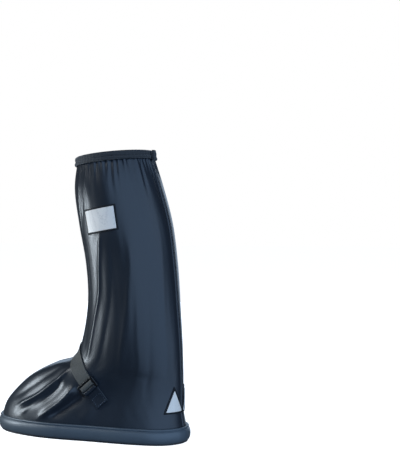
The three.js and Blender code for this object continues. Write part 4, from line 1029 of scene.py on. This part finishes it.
def stitches(name, rows, closed, material, thick=0.42, length=2.4, gap=0.9):
    """Thread dashes along rows of places; each row is (places, outward directions)."""
    spots, faces, offset = [], [], 0
    around = np.linspace(0, 2 * np.pi, 7)[:-1]
    for places, outs in rows:
        if closed:
            places, outs = [np.concatenate([a, a[:1]]) for a in (places, outs)]
        run = np.concatenate([[0], np.cumsum(np.linalg.norm(np.diff(places, axis=0), axis=1))])
        count = int(run[-1] / (length + gap))
        pitch = run[-1] / count
        for i in range(count):
            s = i * pitch + np.linspace(0.1, length, 6) + 0.3
            core = np.stack([np.interp(s, run, places[:, k]) for k in range(3)], -1)
            out = np.stack([np.interp(s, run, outs[:, k]) for k in range(3)], -1)
            way = np.gradient(core, axis=0)
            way /= np.linalg.norm(way, axis=1, keepdims=True)
            beside = np.cross(way, out)
            girth = thick / 2 * np.array([0.35, 0.85, 1, 1, 0.85, 0.35])
            sink = np.array([-0.35, -0.1, 0, 0, -0.1, -0.35])
            core = core + out * sink[:, None]
            ring = (core[:, None] + girth[:, None, None] * (
                beside[:, None] * np.cos(around)[None, :, None]
                + out[:, None] * np.sin(around)[None, :, None]))
            spots.append(ring.reshape(-1, 3))
            for a in range(5):
                for b in range(6):
                    c, d = offset + a * 6 + b, offset + a * 6 + (b + 1) % 6
                    faces.append((c, d, d + 6, c + 6))
            offset += 36
    thread_piece = mesh_piece(name, [(np.concatenate(spots), faces, 0)], [material])
    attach(thread_piece, "root")


# Bonded polyester thread: two plies with a slight wax shine, a tone lighter than the cloth
thread, place = new_material("bonded_polyester_thread")
plies = add_node(thread, "ShaderNodeTexWave", {"bands_direction": "DIAGONAL"}, Vector=place,
                 Scale=1000 / (0.6 * 6.28), Distortion=0.4).outputs["Fac"]
finish_material(thread, (plies, "#3c4654", "#76828f"), plies, 0.4, 0.0001, Roughness=0.5)


def on_tab(side, x, y, height):
    """Place over the cloth, and the way out of it, from a place in the buckle's frame."""
    buckle = BUCKLE[side]
    x, y = np.broadcast_arrays(np.asarray(x, float), np.asarray(y, float))
    turn, rise = on_frame((buckle["point"], *buckle["axes"]), x, y, side, buckle["turn"],
                          buckle["rise"])
    return skin(turn, rise, side, height), normal(turn, rise, side)


for side, where in ((-1, "outer"), (1, "inner")):
    buckle = BUCKLE[side]
    point, axes, end = buckle["point"], buckle["axes"], buckle["tab"]
    under_run = np.linspace(end, REAR_BAR[1] + 1.8, 30)
    low_height = STRAP_LOW + TAB_LAYER / 2
    lower, _ = on_tab(side, under_run[:, None], TAB_VIEW, low_height)
    upper, _ = on_tab(side, under_run[::-1, None] - 0.4, TAB_VIEW, low_height + TAB_LAYER + 0.05)
    local = (lower[-1] - point) @ axes.T
    rest, top = local[:, 2].mean(), buckle["low"] + BUCKLE_THICK
    up, down = REAR_BAR[0] - 0.7, REAR_BAR[1] + 0.75
    bend = [(9, rest), (7.5, rest), (6.4, rest + 0.1), (5.6, rest + 0.6), (up, rest + 1.4),
            (up - 0.05, top - 0.8), (up, top + 0.1), (up + 0.4, top + 0.52), (up + 1.1, top + 0.68),
            (7.4, top + 0.72), (down - 1.1, top + 0.68), (down - 0.35, top + 0.45),
            (down + 0.05, top - 0.1), (down + 0.12, top - 1.2), (down + 0.3, rest + 1.9),
            (down + 0.65, rest + 1.15)]
    loop = []
    for x, z in bend:
        spot = np.stack([np.full(len(TAB_VIEW), x), local[:, 1], local[:, 2] + z - rest], -1)
        loop.append(point + spot @ axes)
    tab_middle = np.concatenate([lower, np.array(loop), upper[1:]])
    tab = ribbon(f"anchor_tab_cloth_{where}", tab_middle[:, ::-1],
                 np.broadcast_to(TAB_HALF, tab_middle.shape[:2]), pvc)
    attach(tab, "root")
    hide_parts(f"anchor_tab_{where}")
    path = rounded([(end - 15, -7.6), (end - 2, -7.6), (end - 2, 7.6), (end - 15, 7.6)], 0.6,
                   steps=3, spacing=1)
    places, outs = on_tab(side, path[:, 0], path[:, 1], STRAP_LOW + 2 * TAB_LAYER + 0.2)
    stitches(f"tab_stitches_{where}", [(places, outs)], True, thread)

# Placket: a long U-ended flap of the same cloth on the inner side, folded in at its edges and
# sewn down with two rows of thread. It covers the gusset that widens the leg.
PLACKET = 1.2
PLACKET_FOOT = (52, 98)
PLACKET_WIDTH, PLACKET_NECK = 38, 27
PLACKET_LEAN = math.radians(8.5)
PLACKET_LENGTH = (376 - PLACKET_FOOT[1]) / math.cos(PLACKET_LEAN)


def on_placket(across, up, height):
    """Place over the inner side from widths and lengths on the flap."""
    cos, sin = math.cos(PLACKET_LEAN), math.sin(PLACKET_LEAN)
    x = PLACKET_FOOT[0] - across * cos - up * sin
    z = PLACKET_FOOT[1] - across * sin + up * cos
    turn, rise = place_at(x, z, 1)
    return skin(turn, rise, 1, height), normal(turn, rise, 1)


def placket_half(up, inset=0.0):
    """Half the flap's width at a length up from its round end."""
    round_end = PLACKET_WIDTH / 2 - inset
    straight = (PLACKET_WIDTH + (PLACKET_NECK - PLACKET_WIDTH) * up / PLACKET_LENGTH) / 2 - inset
    return np.where(up < 0, np.sqrt(np.maximum(round_end ** 2 - up ** 2, 0)), straight)


bow = -PLACKET_WIDTH / 2 * np.cos(np.linspace(0, np.pi / 2, 16))
ups = np.concatenate([bow[:-1], np.linspace(0, PLACKET_LENGTH, 150)])
views = np.array([-1, -0.998, -0.985, -0.95, -0.88, -0.8, -0.6, -0.3, 0, 0.3, 0.6, 0.8, 0.88, 0.95,
                  0.985, 0.998, 1])
up, view = np.meshgrid(ups, views, indexing="ij")
inside_edge = placket_half(up) * (1 - np.abs(view))
end_edge = PLACKET_WIDTH / 2 - np.hypot(np.minimum(up, 0), placket_half(up) * view)
inside_edge = np.where(up < 0, end_edge, inside_edge)
hem = 0.35 * np.exp(-((inside_edge - 1.2) / 1.1) ** 2) - 0.3 * np.exp(-((inside_edge - 3) / 0.8) ** 2)
height = STRAP_LOW + PLACKET * np.clip(inside_edge / 0.5, 0, 1) ** 0.5 + hem - 0.5 * (inside_edge < 0.02)
flap_top, _ = on_placket(placket_half(up) * view, up, height)
placket = mesh_piece("sewn_placket_flap", [(flap_top, grid_faces(*up.shape), 0)], [pvc])
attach(placket, "root")
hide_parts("placket")
rows = []
for inset in (3, 5.4):
    turn_round = np.linspace(0, np.pi, 40)[1:-1]
    reach = PLACKET_WIDTH / 2 - inset
    straight = np.linspace(PLACKET_LENGTH - 4, 0, 90)
    path = np.concatenate([
        np.stack([-placket_half(straight, inset), straight], -1),
        np.stack([-reach * np.cos(turn_round), -reach * np.sin(turn_round)], -1),
        np.stack([placket_half(straight[::-1], inset), straight[::-1]], -1),
    ])
    rows.append(on_placket(path[:, 0], path[:, 1], STRAP_LOW + PLACKET + 0.12))
stitches("placket_stitches", rows, False, thread, length=2.8, gap=1.1)

# Zip: a black coil zip sewn in beside the front seam of the inner side, with its slider pulled up
# under the binding.
ZIP_TURN = 15
ZIP_WIDTH, ZIP_LENGTH = 13, 150
ZIP_TAPE, COIL_WIDTH, COIL_PITCH = 0.9, 4.2, 1.3
GAP = 0.3
zip_middle = rise_below(np.array([float(ZIP_TURN)]), 1, BAND_DEPTH + GAP + ZIP_LENGTH / 2)[0]
zip_plane = surface_frame(ZIP_TURN, zip_middle, 1, 0)


def on_zip(x, y, height):
    """Place over the cloth, and the way out of it, from a place in the zip's frame."""
    x, y = np.broadcast_arrays(np.asarray(x, float), np.asarray(y, float))
    turn, rise = on_frame(zip_plane, x, y, 1, ZIP_TURN, zip_middle)
    return skin(turn, rise, 1, height), normal(turn, rise, 1)


# Polyester zip tape: a twill of fine black yarn, matte, with a raised cord beside the teeth
tape_cloth, _ = new_material("woven_polyester_zip_tape")
cloth = add_node(tape_cloth, "ShaderNodeUVMap", {"uv_map": "cloth"})
twill = add_node(tape_cloth, "ShaderNodeTexWave", {"bands_direction": "DIAGONAL"},
                 Vector=cloth.outputs[0], Scale=0.25, Distortion=0.5).outputs["Fac"]
finish_material(tape_cloth, (twill, "#121315", "#2a2c2f"), twill, 0.5, 0.0002, Roughness=0.8)
tape_views = np.array([-6.5, -6.4, -6, -4, -2.9, -2.5, -2.1, 2.1, 2.5, 2.9, 4, 6, 6.4, 6.5])
tape_lift = STRAP_LOW + ZIP_TAPE * np.array([
    -0.6, 0.5, 0.9, 1, 1.15, 1.3, 1, 1, 1.3, 1.15, 1, 0.9, 0.5, -0.6])
tape_ups = np.linspace(-ZIP_LENGTH / 2, ZIP_LENGTH / 2 - 1, 140)
tape_top, _ = on_zip(tape_views, tape_ups[:, None], np.broadcast_to(tape_lift, (140, 14)))
tape_uv = np.stack(np.broadcast_arrays(tape_ups[:, None], tape_views), -1)
tape_piece = mesh_piece("zip_tape_cloth", [(tape_top, grid_faces(140, 14, flip=True), 0)],
                        [tape_cloth], tape_uv)
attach(tape_piece, "root")
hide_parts("zip_tape")
edge_rows = [on_zip(x, tape_ups[2:-2], STRAP_LOW + ZIP_TAPE + 0.1) for x in (-5, 5)]
stitches("zip_stitches", edge_rows, False, thread, length=2.4, gap=1)

# Nylon coil: bright black monofilament bent into teeth, whose heads mesh along the middle
nylon, place = new_material("extruded_nylon_coil")
haze = add_node(nylon, "ShaderNodeTexNoise", Vector=place, Scale=160, Detail=2)
finish_material(nylon, (haze.outputs["Fac"], "#101113", "#222428"), Roughness=0.3, IOR=1.53)
coil_half = (ZIP_LENGTH - ZIP_WIDTH) / 2
bend_x = np.array([-1.0, -0.55, 0, 0.55, 0.9, 1.0, 0.9]) * COIL_WIDTH / 2
bend_up = np.array([0, 0.75, 1, 0.95, 0.7, 0.35, 0.1]) * 0.9
around = np.linspace(0, 2 * np.pi, 7)[:-1]
coil_spots, coil_faces = [], []
for i, y in enumerate(np.arange(-coil_half, coil_half - 11, COIL_PITCH / 2)):
    hand = 1 if i % 2 else -1
    core, outs = on_zip(hand * bend_x * 0.92 + hand * 0.15, y, STRAP_LOW + ZIP_TAPE + 0.1 + bend_up)
    way = np.gradient(core, axis=0)
    way /= np.linalg.norm(way, axis=1, keepdims=True)
    beside = np.cross(way, outs)
    over = np.cross(beside, way)
    girth = 0.34 * np.array([0.8, 1, 1, 1, 1.1, 1.15, 0.8])
    ring = core[:, None] + girth[:, None, None] * (
        beside[:, None] * np.cos(around)[None, :, None] + over[:, None] * np.sin(around)[None, :, None])
    first = 42 * i
    coil_spots.append(ring.reshape(-1, 3))
    for a in range(6):
        for b in range(6):
            c, d = first + a * 6 + b, first + a * 6 + (b + 1) % 6
            coil_faces.append((c, d, d + 6, c + 6))
coil = mesh_piece("zip_coil_teeth", [(np.concatenate(coil_spots), coil_faces, 0)], [nylon])
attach(coil, "root")
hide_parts("zip_coil")

# Slider: a die-cast zinc body, painted black, with a bridge on top that holds its short pull
paint, place = new_material("painted_zinc_slider")
chips = add_node(paint, "ShaderNodeTexNoise", Vector=place, Scale=500, Detail=4)
finish_material(paint, (chips.outputs["Fac"], "#101113", "#2b2d31"), Roughness=0.34, Metallic=0.2)


def solid_frame(node, turn, below):
    """Frame on the upper of a stiff piece, and the low side of its solid above that frame."""
    rise = rise_below(np.array([float(turn)]), 1, below)[0]
    origin, right, up, out = surface_frame(turn, rise, 1, 0)
    low = ((corner_places(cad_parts[node]) - origin) @ out).min()
    return origin, np.array([right, up, out]), float(low)


SLIDER_HALF = 5.5
SLIDER_BELOW = BAND_DEPTH + ZIP_WIDTH / 2 + SLIDER_HALF + GAP
slider_origin, slider_axes, slider_low = solid_frame("zip_slider", ZIP_TURN, SLIDER_BELOW)
shield = [(-2.6, -5.5), (2.6, -5.5), (3.9, -1.5), (4, 4), (1.4, 5.5), (-1.4, 5.5), (-4, 4),
          (-3.9, -1.5)]
slider_parts = [
    (moulded_plate("slider_top", [rounded(shield, 0.8, 4, 2)], 1.1, 0.3, paint), (0, 0, 0.55)),
    (moulded_plate("slider_bridge", [box_loop(-0.9, 0.9, 3.4, 0.8)], 1.2, 0.35, paint), (0, 0.9, 1.6)),
    (moulded_plate("slider_pull", [
        rounded([(-1.7, -5.2), (1.7, -5.2), (2.1, 2.4), (-2.1, 2.4)], 1.1, 5, 2),
        box_loop(-1, 1, 0.9, 0.4)], 0.8, 0.25, paint), (0, -0.2, 2.1)),
]
for piece, middle in slider_parts:
    set_on(piece, slider_origin, slider_axes, np.array(middle) + (0, 0, slider_low))
    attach(piece, "root")
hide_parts("zip_slider")

# Cord lock: a moulded barrel with a spring button. The cord runs through it from end to end, and
# the button grips it.
LOCK_WIDTH, LOCK_LENGTH, LOCK_THICK = 11, 17, 7
LOCK_TURN, LOCK_BELOW = 33, BAND_DEPTH + LOCK_LENGTH / 2 + 1.5
lock_origin, lock_axes, lock_low = solid_frame("cord_lock", LOCK_TURN, LOCK_BELOW)
angles = np.linspace(0, 2 * np.pi, 49)[:-1]
levels = np.array([0, 0.04, 0.14, 0.3, 0.5, 0.7, 0.86, 0.95, 1])
shrink = np.array([0.78, 0.9, 0.975, 1, 1, 0.99, 0.94, 0.86, 0.76])
corner = (np.abs(np.cos(angles)) ** 3.4 + np.abs(np.sin(angles)) ** 3.4) ** (-1 / 3.4)
barrel = np.stack([np.stack([
    corner * np.cos(angles) * LOCK_WIDTH / 2 * k, corner * np.sin(angles) * LOCK_LENGTH / 2 * k,
    np.full(48, level * LOCK_THICK)], -1) for level, k in zip(levels, shrink)], 1)
button = []
for radius, up in ((3.6, 6.95), (3.35, 6.7), (3.1, 6.72), (3, 7), (3, 9.4), (2.8, 9.85), (2.2, 10),
                   (1.2, 9.8), (0.02, 9.75)):
    button.append(np.stack([radius * np.cos(angles), radius * np.sin(angles),
                            np.full(48, up)], -1))
button = np.stack(button, 1)
lock_spots = [lock_origin + (part + (0, 0, lock_low)) @ lock_axes for part in (barrel, button)]
lock = mesh_piece("cord_lock_barrel", [
    (lock_spots[0], grid_faces(48, len(levels), wrap=True).tolist()
     + [[i * 9 for i in range(47, -1, -1)], [i * 9 + 8 for i in range(48)]], 0),
    (lock_spots[1], grid_faces(48, 9, wrap=True), 0)], [acetal])
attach(lock, "root")
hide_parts("cord_lock")
